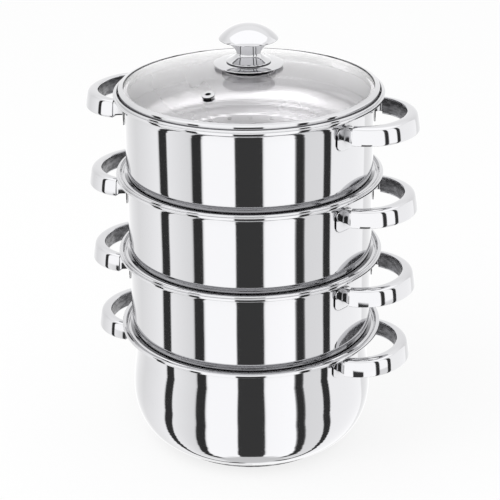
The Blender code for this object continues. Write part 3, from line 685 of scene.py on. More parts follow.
BELLY = 111.3 * MM
BELLY_HEIGHT = 50.0 * MM
BASE_RADIUS = 84.0 * MM
BASE_HEIGHT = 6.0 * MM
POT_NECK_END = 97.0 * MM
CAP_WALL = 80.3 * MM
CAP_RADIUS = 82.6 * MM
CAP_SHEET = 0.8 * MM
CAP_ROUND = 1.4 * MM


def belly(sizes, offset):
    """Down the pot's wall from the neck over the belly to its flat bottom."""
    points = []
    for step in range(1, 15):
        way = 1 - step / 14
        radius = BELLY + (sizes.pot_neck_radius - BELLY) * ease(way)[2]
        points.append((radius - offset, BELLY_HEIGHT + (POT_NECK_END - BELLY_HEIGHT) * way))
    across = BELLY - BASE_RADIUS - offset
    down = BELLY_HEIGHT - BASE_HEIGHT - offset
    for x, y in arc(0.0, 0.0, 1.0, 0, -90, 24)[1:]:
        points.append((BASE_RADIUS + across * x, BELLY_HEIGHT + down * y))
    return points


def pot_outline(sizes):
    """The pot's shell in section, from the middle of its floor up inside and down outside."""
    sheet = sizes.sheet
    neck = sizes.pot_neck_radius
    inside = [(0.0, BASE_HEIGHT + sheet)] + belly(sizes, sheet)[::-1] + [(neck - sheet, POT_NECK_END)]
    inside += raised(mouth_inside(sizes, neck - sheet), sizes.pot_height)
    edge = rounds(sizes.lip_radius, POT_EDGE) + [(sizes.lip_radius - HEM_INSET, -HEM_DROP)]
    outside = raised(edge + under_lip(neck, POT_FILLET), sizes.pot_height)
    outside += [(neck, POT_NECK_END)] + belly(sizes, 0.0) + [(0.0, BASE_HEIGHT)]
    return inside + outside


def base_cap_outline():
    """The pressed cap under the pot, with a rounded edge and a flat foot."""
    high = BASE_HEIGHT - FIT
    outline = [(0.0, CAP_SHEET), (CAP_WALL, CAP_SHEET), (CAP_WALL, high)]
    outline += arc(CAP_RADIUS - 0.6 * MM, high - 0.6 * MM, 0.6 * MM, 90, 0, 4)
    return outline + arc(CAP_RADIUS - CAP_ROUND, CAP_ROUND, CAP_ROUND, 0, -90, 7) + [(0.0, 0.0)]


class STEAMER_OT_pot(bpy.types.Operator):
    """Spin the cooking pot's shell and the cap under it, and finish the disc between them"""

    bl_idname = "steamer.pot"
    bl_label = "Pot"

    def execute(self, context):
        sizes = context.scene.steamer_sizes
        shell = spin_piece("pot_shell_fine", pot_outline(sizes), WIDE_STEPS, closed=False)
        dress(shell, "pot_shell", POT, "polished_steel", MIRROR, BRUSHED)
        brush_inside(shell, sizes.pot_height - BRUSHED_BELOW)
        cap = spin_piece("pot_base_cap_fine", base_cap_outline(), WIDE_STEPS, closed=False)
        dress(cap, "pot_base_cap", POT, "satin_steel", DULL)
        finish_node("pot_base_core", ALUMINIUM)
        return {"FINISHED"}


def finish_node(node, finish_name):
    """Give a CAD node that stays in view its finish."""
    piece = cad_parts[node]
    for index in range(len(piece.data.materials)):
        piece.data.materials[index] = finish(finish_name)


# Handles and brackets

HANDLE_REACH = 38.0 * MM
HANDLE_STANDOFF = 9.0 * MM
HALF_SPAN = 45.2 * MM
# where round the loop, in degrees, it ends and the tongue inside it ends
END_ANGLE = 87.0
PLUG_ANGLE = END_ANGLE - 9.0
HALF_STEPS = 28
# width and height of the section in the middle of the loop and at its ends
MID_SIZE = (12.2 * MM, 15.8 * MM)
END_SIZE = (8.2 * MM, 15.6 * MM)
LOOP_SHEET = 1.0 * MM
TIER_HANDLE_DROP = 17.4 * MM
POT_HANDLE_DROP = 12.6 * MM
TIER_PLATE_DROP = 21.6 * MM
POT_PLATE_DROP = 17.8 * MM
# half the width, half the height and the corner of the weld plates
TIER_PLATE = (10.4 * MM, 9.8 * MM, 5.5 * MM)
POT_PLATE = (6.5 * MM, 7.0 * MM, 4.0 * MM)
PLATE_SHEET = 1.0 * MM
TONGUE_ROOT = (5.6 * MM, 12.0 * MM)
# how much narrower than the loop the tongue is, and how far it is waisted in width and height
TONGUE_INSET = 2.8 * MM
TONGUE_WAIST = (0.18, 0.06)
UP = Vector((0.0, 0.0, 1.0))
MIRROR_Y = Matrix.Scale(-1.0, 4, (0.0, 1.0, 0.0))

# The loop's D, outwards and upwards, in shares of its size. It is flat towards the pot, and its
# outer face leans back a little
D_SECTION = (
    (-0.50, 0.40), (-0.485, 0.455), (-0.44, 0.49), (-0.30, 0.50), (-0.12, 0.495), (0.04, 0.475),
    (0.15, 0.445), (0.235, 0.405), (0.295, 0.35), (0.345, 0.25), (0.395, 0.10), (0.44, -0.06),
    (0.475, -0.22), (0.503, -0.375), (0.510, -0.415), (0.507, -0.452), (0.488, -0.482),
    (0.455, -0.497), (0.38, -0.50), (0.0, -0.50), (-0.25, -0.50), (-0.44, -0.49),
    (-0.485, -0.455), (-0.50, -0.40),
)
# A plate's thickness by its height, with the outer edges broken
PLATE_SECTION = ((-0.5, -0.5), (0.32, -0.5), (0.5, -0.47), (0.5, 0.47), (0.32, 0.5), (-0.5, 0.5))


def handle_station(wall, angle, height):
    """One station of the loop: its centre line, the way out and its two sizes."""
    end = radians(END_ANGLE)
    end_out = sqrt((wall + HANDLE_STANDOFF) ** 2 - (HALF_SPAN * sin(end)) ** 2)
    depth = (wall + HANDLE_REACH - end_out) / (1 - cos(end))
    turned = radians(angle)
    middle = wall + HANDLE_REACH - depth
    centre = Vector((middle + depth * cos(turned), HALF_SPAN * sin(turned), height))
    outward = Vector((HALF_SPAN * cos(turned), depth * sin(turned), 0.0)).normalized()
    way = (angle / END_ANGLE) ** 2
    return centre, outward, UP, *(mid + (end - mid) * way for mid, end in zip(MID_SIZE, END_SIZE))


def loop_handle(name, wall, height):
    """A hollow formed loop, open at both ends, on the +X side."""
    steps = range(2 * HALF_STEPS + 1)
    stations = [handle_station(wall, END_ANGLE * (step / HALF_STEPS - 1), height) for step in steps]
    loop = sweep_piece(name, D_SECTION, stations)
    mode("EDIT")
    bpy.ops.mesh.select_mode(type="FACE")
    bpy.ops.mesh.select_all(action="DESELECT")
    mode("OBJECT")
    for face in loop.data.polygons:
        face.select = len(face.vertices) > 4
    mode("EDIT")
    bpy.ops.mesh.delete(type="ONLY_FACE")
    bpy.ops.mesh.select_mode(type="VERT")
    mode("OBJECT")
    apply_modifier(loop, "SOLIDIFY", thickness=LOOP_SHEET, offset=-1.0)
    smooth(loop, 40)
    dull_inner_face(loop, Vector((wall + HANDLE_REACH / 3, 0.0, height)))
    return loop


def dull_inner_face(loop, middle):
    """Give the loop's flat inner face, which no buffing wheel reaches, the piece's second finish."""
    for face in loop.data.polygons:
        rise = abs(face.center.z - middle.z)
        span = max(loop.data.vertices[index].co.z for index in face.vertices) - face.center.z
        inward = face.normal.dot((middle - face.center).normalized())
        if rise < 1 * MM and span > 5 * MM and inward > 0.3:
            face.material_index = 1


def wall_place(radius, angle, along, height):
    """A point on a round wall and the directions along and out of it."""
    turned = angle + along / radius
    out = Vector((cos(turned), sin(turned), 0.0))
    return out * radius + UP * height, Vector((-sin(turned), cos(turned), 0.0)), out


def weld_plate(name, wall, angle, height, size):
    """The bracket's plate: a rounded rectangle bent to the wall."""
    half_width, half_height, corner = size
    ways = [corner * (1 - cos(radians(step * 15))) for step in range(7)]
    flat = half_width - corner
    spots = [-half_width + way for way in ways] + [-flat / 3, 0.0, flat / 3]
    spots += [half_width - way for way in reversed(ways)]
    stations = []
    for along in spots:
        cut = max(0.0, abs(along) - flat)
        tall = 2 * (half_height - corner + sqrt(max(corner ** 2 - cut ** 2, 0.0)))
        centre, _, out = wall_place(wall + FIT + PLATE_SHEET / 2, angle, along, height)
        stations.append((centre, out, UP, PLATE_SHEET, tall))
    return sweep_piece(name, PLATE_SECTION, stations, sharp=12)


def tongue(name, wall, angle, height, end_station, plug_station):
    """The folded tongue that rises from the plate and fills the end of the loop."""
    root_wide, root_tall = TONGUE_ROOT
    root, tangent, out = wall_place(wall + FIT + 0.4 * MM, angle, 0.0, height)
    seat, seat_out, _, wide, tall = end_station
    wide, tall = wide - TONGUE_INSET, tall - TONGUE_INSET
    aim = (plug_station[0] - seat).normalized()
    reach = (seat - root).length
    stations = [(root, tangent, UP, root_wide, root_tall)]
    for step in range(1, 9):
        t = step / 8
        leave, leaving, arrive, arriving = ease(t)
        centre = root * leave + out * (reach * leaving) + seat * arrive + aim * (reach * arriving)
        across = tangent.lerp(seat_out, t).normalized()
        size = (root_wide + (wide - root_wide) * t) * (1 - TONGUE_WAIST[0] * sin(pi * t))
        rise = (root_tall + (tall - root_tall) * t) * (1 - TONGUE_WAIST[1] * sin(pi * t))
        stations.append((centre, across, UP, size, rise))
    stations.append((plug_station[0], plug_station[1], UP, wide, tall))
    return sweep_piece(name, D_SECTION, stations)


def bracket(name, wall, plate_height, height, plate_size):
    """A plate and its tongue for the +Y end of the +X loop."""
    end_station = handle_station(wall, END_ANGLE, height)
    plug_station = handle_station(wall, PLUG_ANGLE, height)
    seat = end_station[0]
    angle = asin(seat.y / seat.xy.length)
    plate = weld_plate(name + "_plate", wall, angle, plate_height, plate_size)
    fold = tongue(name + "_tongue", wall, angle, height, end_station, plug_station)
    return join_pieces(name, [plate, fold])


def vessels(sizes):
    """Each vessel's body, its wall, the heights of its loops and plates, and the plates' size."""
    level = sizes.pot_height
    yield POT, sizes.pot_neck_radius, level - POT_HANDLE_DROP, level - POT_PLATE_DROP, POT_PLATE
    for place, body in enumerate(TIERS, 1):
        level = lip_level(sizes, place)
        yield body, sizes.wall_radius, level - TIER_HANDLE_DROP, level - TIER_PLATE_DROP, TIER_PLATE


SIDES = (("right", 0.0, "back", "front"), ("left", pi, "front", "back"))


class STEAMER_OT_handles(bpy.types.Operator):
    """Form the two hollow loop handles of every vessel"""

    bl_idname = "steamer.handles"
    bl_label = "Handles"

    def execute(self, context):
        sizes = context.scene.steamer_sizes
        for body, wall, height, _, _ in vessels(sizes):
            loop = loop_handle("loop", wall, height)
            for side, angle, _, _ in SIDES:
                node = body + "_handle_" + side
                piece = twin(loop, node + "_fine", turn(angle))
                dress(piece, node, body, "polished_steel", MIRROR, DULL)
            drop_piece(loop)
        return {"FINISHED"}


class STEAMER_OT_brackets(bpy.types.Operator):
    """Press the bracket plates with their tongues and weld four to every vessel"""

    bl_idname = "steamer.brackets"
    bl_label = "Brackets"

    def execute(self, context):
        sizes = context.scene.steamer_sizes
        for body, wall, height, plate_height, plate_size in vessels(sizes):
            back = bracket("bracket", wall, plate_height, height, plate_size)
            for side, angle, plain, mirrored in SIDES:
                for place, matrix in ((plain, turn(angle)), (mirrored, turn(angle) @ MIRROR_Y)):
                    node = body + "_bracket_" + side + "_" + place
                    piece = twin(back, node + "_fine", matrix)
                    dress(piece, node, body, "polished_steel", MIRROR)
            drop_piece(back)
        return {"FINISHED"}


# Lid

GLASS_RADIUS = 113.4 * MM
GLASS_THICK = 3.0 * MM
SCREW_CLEARANCE = 3.4 * MM
BAND_RADIUS = 115.4 * MM
BAND_INNER = 111.0 * MM
BAND_SHEET = 0.6 * MM
BAND_LEVEL = -1.4 * MM
BAND_PLAY = 0.25 * MM
SKIRT_RADIUS = 107.4 * MM


def lid_level(sizes):
    """The top lip's height, which the lid is drawn from."""
    return lip_level(sizes, len(TIERS))


def dome(sizes, radius):
    """Height of the glass's upper face above the top lip."""
    sphere = sphere_radius(GLASS_RADIUS, sizes.glass_rise)
    edge = sqrt(sphere ** 2 - GLASS_RADIUS ** 2)
    return BAND_LEVEL + BAND_SHEET + BAND_PLAY + GLASS_THICK + sqrt(sphere ** 2 - radius ** 2) - edge


def glass_outline(sizes):
    """The domed glass in section, with its fixing hole."""
    radii = [SCREW_CLEARANCE + (GLASS_RADIUS - SCREW_CLEARANCE) * step / 32 for step in range(33)]
    top = [(radius, dome(sizes, radius)) for radius in radii]
    return top + raised(top, -GLASS_THICK)[::-1]


def band_outline(sizes):
    """The band rolled round the glass, with the skirt that finds the mouth."""
    edge = dome(sizes, GLASS_RADIUS) + BAND_PLAY
    top = dome(sizes, BAND_INNER) + BAND_PLAY
    low, skirt = BAND_LEVEL, SKIRT_RADIUS
    beside_glass, floor = GLASS_RADIUS + BAND_PLAY, low + BAND_SHEET
    outline = [(BAND_INNER, top), (BAND_INNER + 0.1 * MM, top + 0.45 * MM)]
    outline.append((BAND_INNER + 0.5 * MM, top + BAND_SHEET))
    outline += arc(BAND_RADIUS - 1.2 * MM, edge - 0.6 * MM, 1.2 * MM, 75, 0, 7)
    outline += arc(BAND_RADIUS - 0.9 * MM, low + 0.9 * MM, 0.9 * MM, 0, -90, 6)
    outline += arc(skirt + 0.6 * MM, low - 0.6 * MM, 0.6 * MM, 90, 180, 4)
    outline += arc(skirt - BAND_SHEET / 2, low - 3.7 * MM, BAND_SHEET / 2, 0, -180, 5)
    return outline + [(skirt - BAND_SHEET, floor), (beside_glass, floor), (beside_glass, edge - 0.1 * MM)]


class STEAMER_OT_lid(bpy.types.Operator):
    """Spin the lid's domed glass and its steel band"""

    bl_idname = "steamer.lid"
    bl_label = "Lid"

    def execute(self, context):
        sizes = context.scene.steamer_sizes
        level = lid_level(sizes)
        glass = spin_piece("lid_glass_fine", raised(glass_outline(sizes), level), WIDE_STEPS, closed=True)
        place, _ = vent_place(sizes)
        punch(glass, [place[:2]], VENT_HOLE, place.z, 14 * MM, 32)
        smooth(glass)
        dress(glass, "lid_glass", "lid", "lid_glass", GLASS)
        band = spin_piece("lid_band_fine", raised(band_outline(sizes), level), WIDE_STEPS, closed=True)
        dress(band, "lid_band", "lid", "polished_steel", MIRROR)
        return {"FINISHED"}


# Knob

GASKET_THICK = 1.8 * MM
SCREW_HOLE = 2.3 * MM
PLATE_EDGE = 30.8 * MM
PLATE_FLAT = 21.0 * MM
PLATE_DROOP = 1.3 * MM
BODY_HEIGHT = 19.5 * MM
FOOT_RADIUS = 19.7 * MM
NECK_RADIUS = 10.1 * MM
NECK_HEIGHT = 4.8 * MM
BOWL_RADIUS = 21.6 * MM
CAP_SIZE = (26.2 * MM, 12.4 * MM)
CUP_RADIUS = 23.5 * MM


def plate_level(sizes):
    """The knob plate's underside."""
    return dome(sizes, 3.0 * MM) + GASKET_THICK


def knob_plate_outline(sizes):
    """The wide plate, flat in the middle and drooping to a rounded edge."""
    low = plate_level(sizes)
    sheet = sizes.sheet
    edge = PLATE_EDGE - sheet / 2
    fall = low - PLATE_DROOP
    top = [(SCREW_HOLE, low + sheet), (PLATE_FLAT, low + sheet)]
    top += curve(top[-1], (edge, fall + sheet), (5 * MM, 0.0), (9 * MM, -2.2 * MM), 8)
    top += arc(edge, fall + sheet / 2, sheet / 2, 80, -90, 6)
    under = curve((edge, fall), (PLATE_FLAT, low), (-9 * MM, 2.2 * MM), (-5 * MM, 0.0), 8)
    return top + under + [(PLATE_FLAT, low), (SCREW_HOLE, low)]


def knob_body_outline(sizes):
    """The waisted body: foot, neck and open bowl."""
    low = plate_level(sizes) + sizes.sheet + FIT
    rim, neck_level = low + BODY_HEIGHT, low + NECK_HEIGHT
    bowl_floor, screw_end = low + 12 * MM, low + 10 * MM
    bowl, foot = BOWL_RADIUS, FOOT_RADIUS
    outline = [(0.0, bowl_floor), (NECK_RADIUS, bowl_floor), (bowl - 1.0 * MM, rim), (bowl, rim)]
    for step in range(1, 16):
        way = 1 - step / 16
        out, rise = bowl - NECK_RADIUS, rim - neck_level
        outline.append((NECK_RADIUS + out * way, neck_level + rise * sqrt(way)))
    outline += curve(outline[-1], (foot, low + 1.2 * MM), (-2.0 * MM, -9.0 * MM), (9.0 * MM, -0.6 * MM), 12)
    outline += arc(foot - 0.5 * MM, low + 0.6 * MM, 0.5 * MM, 60, -60, 5)
    return outline + [(foot - 0.4 * MM, low), (SCREW_HOLE, low), (SCREW_HOLE, screw_end), (0.0, screw_end)]


def knob_cap_outline(sizes):
    """The pressed dome, rolled under at its edge."""
    seam = plate_level(sizes) + sizes.sheet + FIT + BODY_HEIGHT + FIT
    edge = seam + 1.4 * MM
    wide, rise = CAP_SIZE
    sphere = sphere_radius(wide, rise)
    spread = degrees(asin(wide / sphere))
    centre = edge + rise - sphere
    top = arc(0.0, centre, sphere, 90, 90 - spread, 24)[:-1]
    top += arc(wide - 0.7 * MM, edge - 0.55 * MM, 0.7 * MM, 40, -60, 7)
    under = arc(0.0, centre, sphere - 1.0 * MM, 90 - spread * 0.8, 90, 12)
    return top + [(wide - 1.6 * MM, seam), (BOWL_RADIUS - 1.0 * MM, seam)] + under


def cup_outline(level):
    """The steel cup under the glass, open below."""
    sheet, bend = 0.8 * MM, 1.6 * MM
    outline = [(SCREW_HOLE, level)] + arc(CUP_RADIUS - bend, level - bend, bend, 90, 0, 7)
    outline += arc(CUP_RADIUS - sheet / 2, level - 6.6 * MM, sheet / 2, 0, -180, 5)
    outline += arc(CUP_RADIUS - bend, level - bend, bend - sheet, 0, 90, 5)
    return outline + [(SCREW_HOLE, level - sheet)]


class STEAMER_OT_knob(bpy.types.Operator):
    """Spin the knob's plate, body and cap and the cup below, and finish their fixings"""

    bl_idname = "steamer.knob"
    bl_label = "Knob"

    def execute(self, context):
        sizes = context.scene.steamer_sizes
        level = lid_level(sizes)
        cup_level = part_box("lid_inner_cup")[1][2]
        for node, outline, closed, slot_name, name in (
            ("lid_knob_plate", raised(knob_plate_outline(sizes), level), True, "polished_steel", MIRROR),
            ("lid_knob_body", raised(knob_body_outline(sizes), level), False, "polished_steel", MIRROR),
            ("lid_knob_cap", raised(knob_cap_outline(sizes), level), False, "polished_steel", MIRROR),
            ("lid_inner_cup", cup_outline(cup_level), True, "satin_steel", BRUSHED),
        ):
            piece = spin_piece(node + "_fine", outline, KNOB_STEPS, closed=closed)
            dress(piece, node, "lid", slot_name, name)
        finish_node("lid_plate_gasket", SILICONE)
        finish_node("lid_cup_gasket", SILICONE)
        finish_node("lid_screw", BRUSHED)
        return {"FINISHED"}


# Vent

VENT_AZIMUTH = radians(264)
VENT_RADIUS = 75.0 * MM
VENT_HOLE = 4.2 * MM
FLANGE_RADIUS = 6.1 * MM
FLANGE_LEVEL = 1.8 * MM
TUBE_RADIUS = 3.3 * MM
TUBE_BORE = 2.3 * MM
TAIL_RADIUS = 5.2 * MM


def vent_place(sizes):
    """Where the vent stands on the glass, and how far the dome leans there."""
    height = lid_level(sizes) + dome(sizes, VENT_RADIUS)
    place = Vector((VENT_RADIUS * cos(VENT_AZIMUTH), VENT_RADIUS * sin(VENT_AZIMUTH), height))
    return place, asin(VENT_RADIUS / sphere_radius(GLASS_RADIUS, sizes.glass_rise))


def eyelet_outline():
    """The rolled eyelet: domed flange, tube and flared tail under the glass."""
    low, tail = FLANGE_LEVEL, -3.6 * MM
    outline = [(TUBE_BORE, low + 0.5 * MM)] + arc(3.0 * MM, low + 0.1 * MM, 0.7 * MM, 160, 90, 4)
    outline += arc(FLANGE_RADIUS - 0.6 * MM, low + 0.2 * MM, 0.6 * MM, 80, -20, 7)
    outline += [(FLANGE_RADIUS - 0.5 * MM, low), (TUBE_RADIUS, low), (TUBE_RADIUS, tail), (TAIL_RADIUS, tail)]
    outline += [(TAIL_RADIUS, tail - 0.7 * MM), (2.6 * MM, tail - 0.8 * MM)]
    return outline + [(TUBE_BORE, tail - 0.5 * MM)]


def washer_outline():
    """The soft washer under the eyelet, bulging a little where it is squeezed."""
    return arc(5.1 * MM, 0.9 * MM, 0.6 * MM, 75, -75, 6) + [(3.6 * MM, 0.3 * MM), (3.6 * MM, 1.5 * MM)]


class STEAMER_OT_vent(bpy.types.Operator):
    """Spin the steam vent's eyelet and washer and lean them on the glass"""

    bl_idname = "steamer.vent"
    bl_label = "Vent"

    def execute(self, context):
        sizes = context.scene.steamer_sizes
        place, lean = vent_place(sizes)
        seat = Matrix.Translation(place) @ turn(VENT_AZIMUTH) @ Matrix.Rotation(lean, 4, "Y")
        for node, outline, slot_name, name in (
            ("lid_vent_eyelet", eyelet_outline(), "polished_steel", MIRROR),
            ("lid_vent_washer", washer_outline(), "silicone", SILICONE),
        ):
            piece = spin_piece(node + "_fine", outline, VENT_STEPS, closed=True)
            piece.data.transform(seat)
            dress(piece, node, "lid", slot_name, name)
        return {"FINISHED"}


# Studio

CAMERA_AZIMUTH = 21.2
CAMERA_ELEVATION = 23.3
CAMERA_ROLL = -0.53
CAMERA_TARGET = 182.2 * MM
FOCAL_PIXELS = 1600.0
PICTURE = 500.0
SIDE_OFFSET = 0.45

FLOOR_RADIUS = 6.0
LAMP_PLACE = (-0.5, -0.9, 1.7)
LAMP_AIM = (0.0, 0.0, 0.2)
LAMP_SIZE = 1.4
LAMP_POWER = 9.0
OPEN_AIR_TONE = 0.98

# White screens and black flags round the table: where each starts and ends, in degrees
# from the camera's side, positive to the right, and its brightness at both edges
STUDIO_PANELS = (
    (-180.0, -128.0, 1.25, 1.14),
    (-128.0, -91.2, 1.14, 1.45),
    (-91.2, -81.0, 0.05, 0.05),
    (-81.0, -54.6, 1.40, 1.19),
    (-54.6, -43.8, 0.05, 0.05),
    (-43.8, -13.6, 1.67, 1.67),
    (-13.6, 12.4, 0.063, 0.063),
    (12.4, 42.0, 1.65, 1.72),
    (42.0, 50.9, 0.05, 0.05),
    (50.9, 70.8, 1.19, 1.22),
    (70.8, 79.3, 0.05, 0.05),
    (79.3, 131.0, 1.48, 1.48),
    (131.0, 180.0, 1.15, 1.25),
)
EDGE_SOFTNESS = 0.35
# The flags in front and to its left are low, and end at this height of the ray. Above it they and
# the screens between them share one tone
LOW_FLAGS = (-60.0, 20.0)
FRONT_SCREENS = (-90.0, 75.0)
FLAG_TOP = (-0.215, -0.185)
FRONT_TONE = 1.66
# The three lists that follow start with the ray's height, from 0 straight down to 1 straight up
# How far down the screens spread outwards, as shares of the angle left
SPREAD = ((0.03, 0.53), (0.08, 0.73), (0.135, 0.835), (0.20, 0.915), (0.30, 1.0))
# How far up and down the screens and flags reach, and the tones beyond them
REACH = ((0.013, 1.0), (0.019, 0.0), (0.74, 0.0), (0.82, 1.0))
BEYOND = ((0.0, 0.92), (0.1, 1.0), (0.5, 1.3), (0.8, 1.36), (1.0, 1.38))
# The soft box overhead: how far it reaches back, forward and sideways at a height of one
OVERHEAD_BACK = 0.55
OVERHEAD_FRONT = 0.47
OVERHEAD_SIDE = 0.90
OVERHEAD_SOFTNESS = 0.05
OVERHEAD_LOWEST = 0.3
OVERHEAD_TONE = 1.75


def grey(tone):
    """An opaque grey."""
    return tone, tone, tone, 1.0


def panel_stops(above_low_flags):
    """Ramp positions and tones of the studio's panels, from behind the object on the left round."""
    stops = []
    for start, end, start_tone, end_tone in STUDIO_PANELS:
        low_flag = LOW_FLAGS[0] < start and end < LOW_FLAGS[1]
        in_front = FRONT_SCREENS[0] < start and end < FRONT_SCREENS[1]
        if above_low_flags and in_front and (start_tone > 1.0 or low_flag):
            start_tone = end_tone = FRONT_TONE
        stops.append((0.5 + (start + EDGE_SOFTNESS) / 360, start_tone))
        stops.append((0.5 + (end - EDGE_SOFTNESS) / 360, end_tone))
    return stops


def fill_ramp(ramp, stops):
    """Give a ramp its greys, from positions and tones, and give back its colour."""
    elements = ramp.node.color_ramp.elements
    while len(elements) > 1:
        elements.remove(elements[-1])
    elements[0].position = stops[0][0]
    elements[0].color = grey(stops[0][1])
    for position, tone in stops[1:]:
        elements.new(position).color = grey(tone)
    return ramp


def within(tree, value, middle, half):
    """1 where a value lies within half of a middle, falling off softly outside."""
    off = add_node(tree, "Math", {0: value, 1: middle}, operation="SUBTRACT")
    away = add_node(tree, "Math", {0: off}, operation="ABSOLUTE")
    soft_edge = {"From Min": half, "From Max": half + OVERHEAD_SOFTNESS, "To Min": 1.0, "To Max": 0.0}
    return add_node(tree, "MapRange", {"Value": away, **soft_edge})


def overhead_box(tree, split):
    """1 towards the soft box that hangs over the table, 0 elsewhere."""
    above = add_node(tree, "Math", {0: split["Z"], 1: 0.05}, operation="MAXIMUM")
    ahead = add_node(tree, "Math", {0: split["X"], 1: above}, operation="DIVIDE")
    aside = add_node(tree, "Math", {0: split["Y"], 1: above}, operation="DIVIDE")
    middle, half = (OVERHEAD_FRONT - OVERHEAD_BACK) / 2, (OVERHEAD_FRONT + OVERHEAD_BACK) / 2
    deep, wide = within(tree, ahead, middle, half), within(tree, aside, 0.0, OVERHEAD_SIDE)
    both = add_node(tree, "Math", {0: deep, 1: wide}, operation="MULTIPLY")
    high = add_node(tree, "Math", {0: split["Z"], 1: OVERHEAD_LOWEST}, operation="GREATER_THAN")
    return add_node(tree, "Math", {0: both, 1: high}, operation="MULTIPLY")


def studio_world():
    """A white room. Only polished faces see its screens and flags, which stand upright."""
    world = bpy.data.worlds.new("studio")
    bpy.context.scene.world = world
    world.use_nodes = True
    tree = world.node_tree
    tree.nodes.clear()
    way = add_node(tree, "TexCoord", output="Generated")
    to_camera = (0.0, 0.0, radians(90.0 - CAMERA_AZIMUTH))
    facing = add_node(tree, "Mapping", {"Vector": way, "Rotation": to_camera})
    split = add_node(tree, "SeparateXYZ", {0: facing}, output=None)
    height = add_node(tree, "MapRange", {"Value": split["Z"], "From Min": -1.0})
    angle = add_node(tree, "Math", {0: split["Y"], 1: split["X"]}, operation="ARCTAN2")
    outwards = fill_ramp(add_node(tree, "ValToRGB", {"Fac": height}), SPREAD)
    spread = add_node(tree, "Math", {0: angle, 1: outwards}, operation="MULTIPLY")
    turned = add_node(tree, "MapRange", {"Value": spread, "From Min": -pi, "From Max": pi})
    low = fill_ramp(add_node(tree, "ValToRGB", {"Fac": turned}), panel_stops(False))
    high = fill_ramp(add_node(tree, "ValToRGB", {"Fac": turned}), panel_stops(True))
    flag_range = dict(zip(("From Min", "From Max"), FLAG_TOP))
    over_flags = add_node(tree, "MapRange", {"Value": split["Z"], **flag_range})
    panels = add_node(tree, "Mix", {"Factor": over_flags, 6: low, 7: high}, 2, data_type="RGBA")
    past = fill_ramp(add_node(tree, "ValToRGB", {"Fac": height}), REACH)
    beyond = fill_ramp(add_node(tree, "ValToRGB", {"Fac": height}), BEYOND)
    room = add_node(tree, "Mix", {"Factor": past, 6: panels, 7: beyond}, 2, data_type="RGBA")
    box, lit = overhead_box(tree, split), grey(OVERHEAD_TONE)
    studio = add_node(tree, "Mix", {"Factor": box, 6: room, 7: lit}, 2, data_type="RGBA")
    path = add_node(tree, "LightPath", output=None)
    seen, air = seen_directly(tree, path), grey(OPEN_AIR_TONE)
    open_air = add_node(tree, "Mix", {"Factor": seen, 6: air, 7: grey(1.0)}, 2, data_type="RGBA")
    polished = path["Is Glossy Ray"]
    colour_seen = add_node(tree, "Mix", {"Factor": polished, 6: open_air, 7: studio}, 2, data_type="RGBA")
    background = add_node(tree, "Background", {"Color": colour_seen, "Strength": 1.0})
    add_node(tree, "OutputWorld", {"Surface": background}, output=None)


class STEAMER_OT_stage(bpy.types.Operator):
    """Lay the floor, light the studio and place the camera"""

    bl_idname = "steamer.stage"
    bl_label = "Stage"

    def execute(self, context):
        sizes = context.scene.steamer_sizes
        deselect_all()
        bpy.ops.mesh.primitive_circle_add(vertices=96, radius=FLOOR_RADIUS, fill_type="NGON")
        floor = bpy.context.object
        floor.name = "studio_floor"
        floor.data.materials.append(finish(PAPER))
        floor.visible_glossy = False
        studio_world()
        bpy.ops.object.light_add(type="AREA", location=LAMP_PLACE)
        lamp = bpy.context.object
        lamp.name = "soft_box"
        lamp.data.shape = "DISK"
        lamp.data.size = LAMP_SIZE
        lamp.data.energy = LAMP_POWER
        lamp.visible_glossy = False
        lamp.rotation_euler = (Vector(LAMP_AIM) - lamp.location).to_track_quat("-Z", "Y").to_euler()
        place_camera(sizes.camera_distance)
        bpy.context.scene.view_settings.view_transform = "Standard"
        return {"FINISHED"}


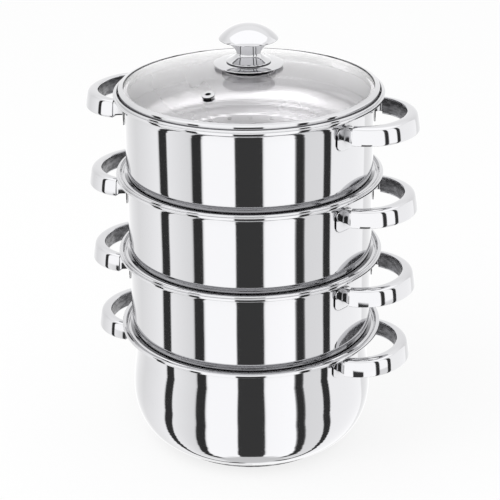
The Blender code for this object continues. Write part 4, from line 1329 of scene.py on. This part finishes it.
def place_camera(distance):
    """The camera, in front of the object, a little to the right and above."""
    azimuth, elevation = radians(CAMERA_AZIMUTH), radians(CAMERA_ELEVATION)
    back = Vector((sin(azimuth) * cos(elevation), -cos(azimuth) * cos(elevation), sin(elevation)))
    deselect_all()
    bpy.ops.object.camera_add(location=Vector((0.0, 0.0, CAMERA_TARGET)) + back * distance)
    camera = bpy.context.object
    camera.name = "studio_camera"
    level = (-back).to_track_quat("-Z", "Y").to_matrix().to_4x4()
    camera.rotation_euler = (level @ Matrix.Rotation(radians(CAMERA_ROLL), 4, "Z")).to_euler()
    camera.data.sensor_width = 36.0
    camera.data.lens = FOCAL_PIXELS / PICTURE * camera.data.sensor_width
    camera.data.shift_x = -SIDE_OFFSET / PICTURE
    camera.data.clip_start = 0.05
    bpy.context.scene.camera = camera


# Panel and registration


class STEAMER_PT_panel(bpy.types.Panel):
    """Sizes, finishes and pieces of the steamer pot"""

    bl_idname = "STEAMER_PT_panel"
    bl_label = "Steamer pot"
    bl_space_type = "VIEW_3D"
    bl_region_type = "UI"
    bl_category = "Steamer"

    def draw(self, context):
        column = self.layout.column()
        for group in (context.scene.steamer_sizes, context.scene.steamer_finishes):
            for name in group.__annotations__:
                column.prop(group, name)
            column.separator()
        for operator in OPERATORS:
            column.operator(operator.bl_idname)


OPERATORS = (
    STEAMER_OT_pot,
    STEAMER_OT_tier_walls,
    STEAMER_OT_trays,
    STEAMER_OT_handles,
    STEAMER_OT_brackets,
    STEAMER_OT_lid,
    STEAMER_OT_knob,
    STEAMER_OT_vent,
    STEAMER_OT_stage,
)
CLASSES = (SteamerSizes, SteamerFinishes, *OPERATORS, STEAMER_PT_panel)


def register():
    for cls in CLASSES:
        bpy.utils.register_class(cls)
    bpy.types.Scene.steamer_sizes = bpy.props.PointerProperty(type=SteamerSizes)
    bpy.types.Scene.steamer_finishes = bpy.props.PointerProperty(type=SteamerFinishes)


def unregister():
    del bpy.types.Scene.steamer_finishes
    del bpy.types.Scene.steamer_sizes
    for cls in reversed(CLASSES):
        bpy.utils.unregister_class(cls)


def main():
    """Build the pieces in order."""
    register()
    bpy.ops.steamer.pot()
    bpy.ops.steamer.tier_walls()
    bpy.ops.steamer.trays()
    bpy.ops.steamer.handles()
    bpy.ops.steamer.brackets()
    bpy.ops.steamer.lid()
    bpy.ops.steamer.knob()
    bpy.ops.steamer.vent()
    bpy.ops.steamer.stage()


if __name__ == "__main__":
    main()
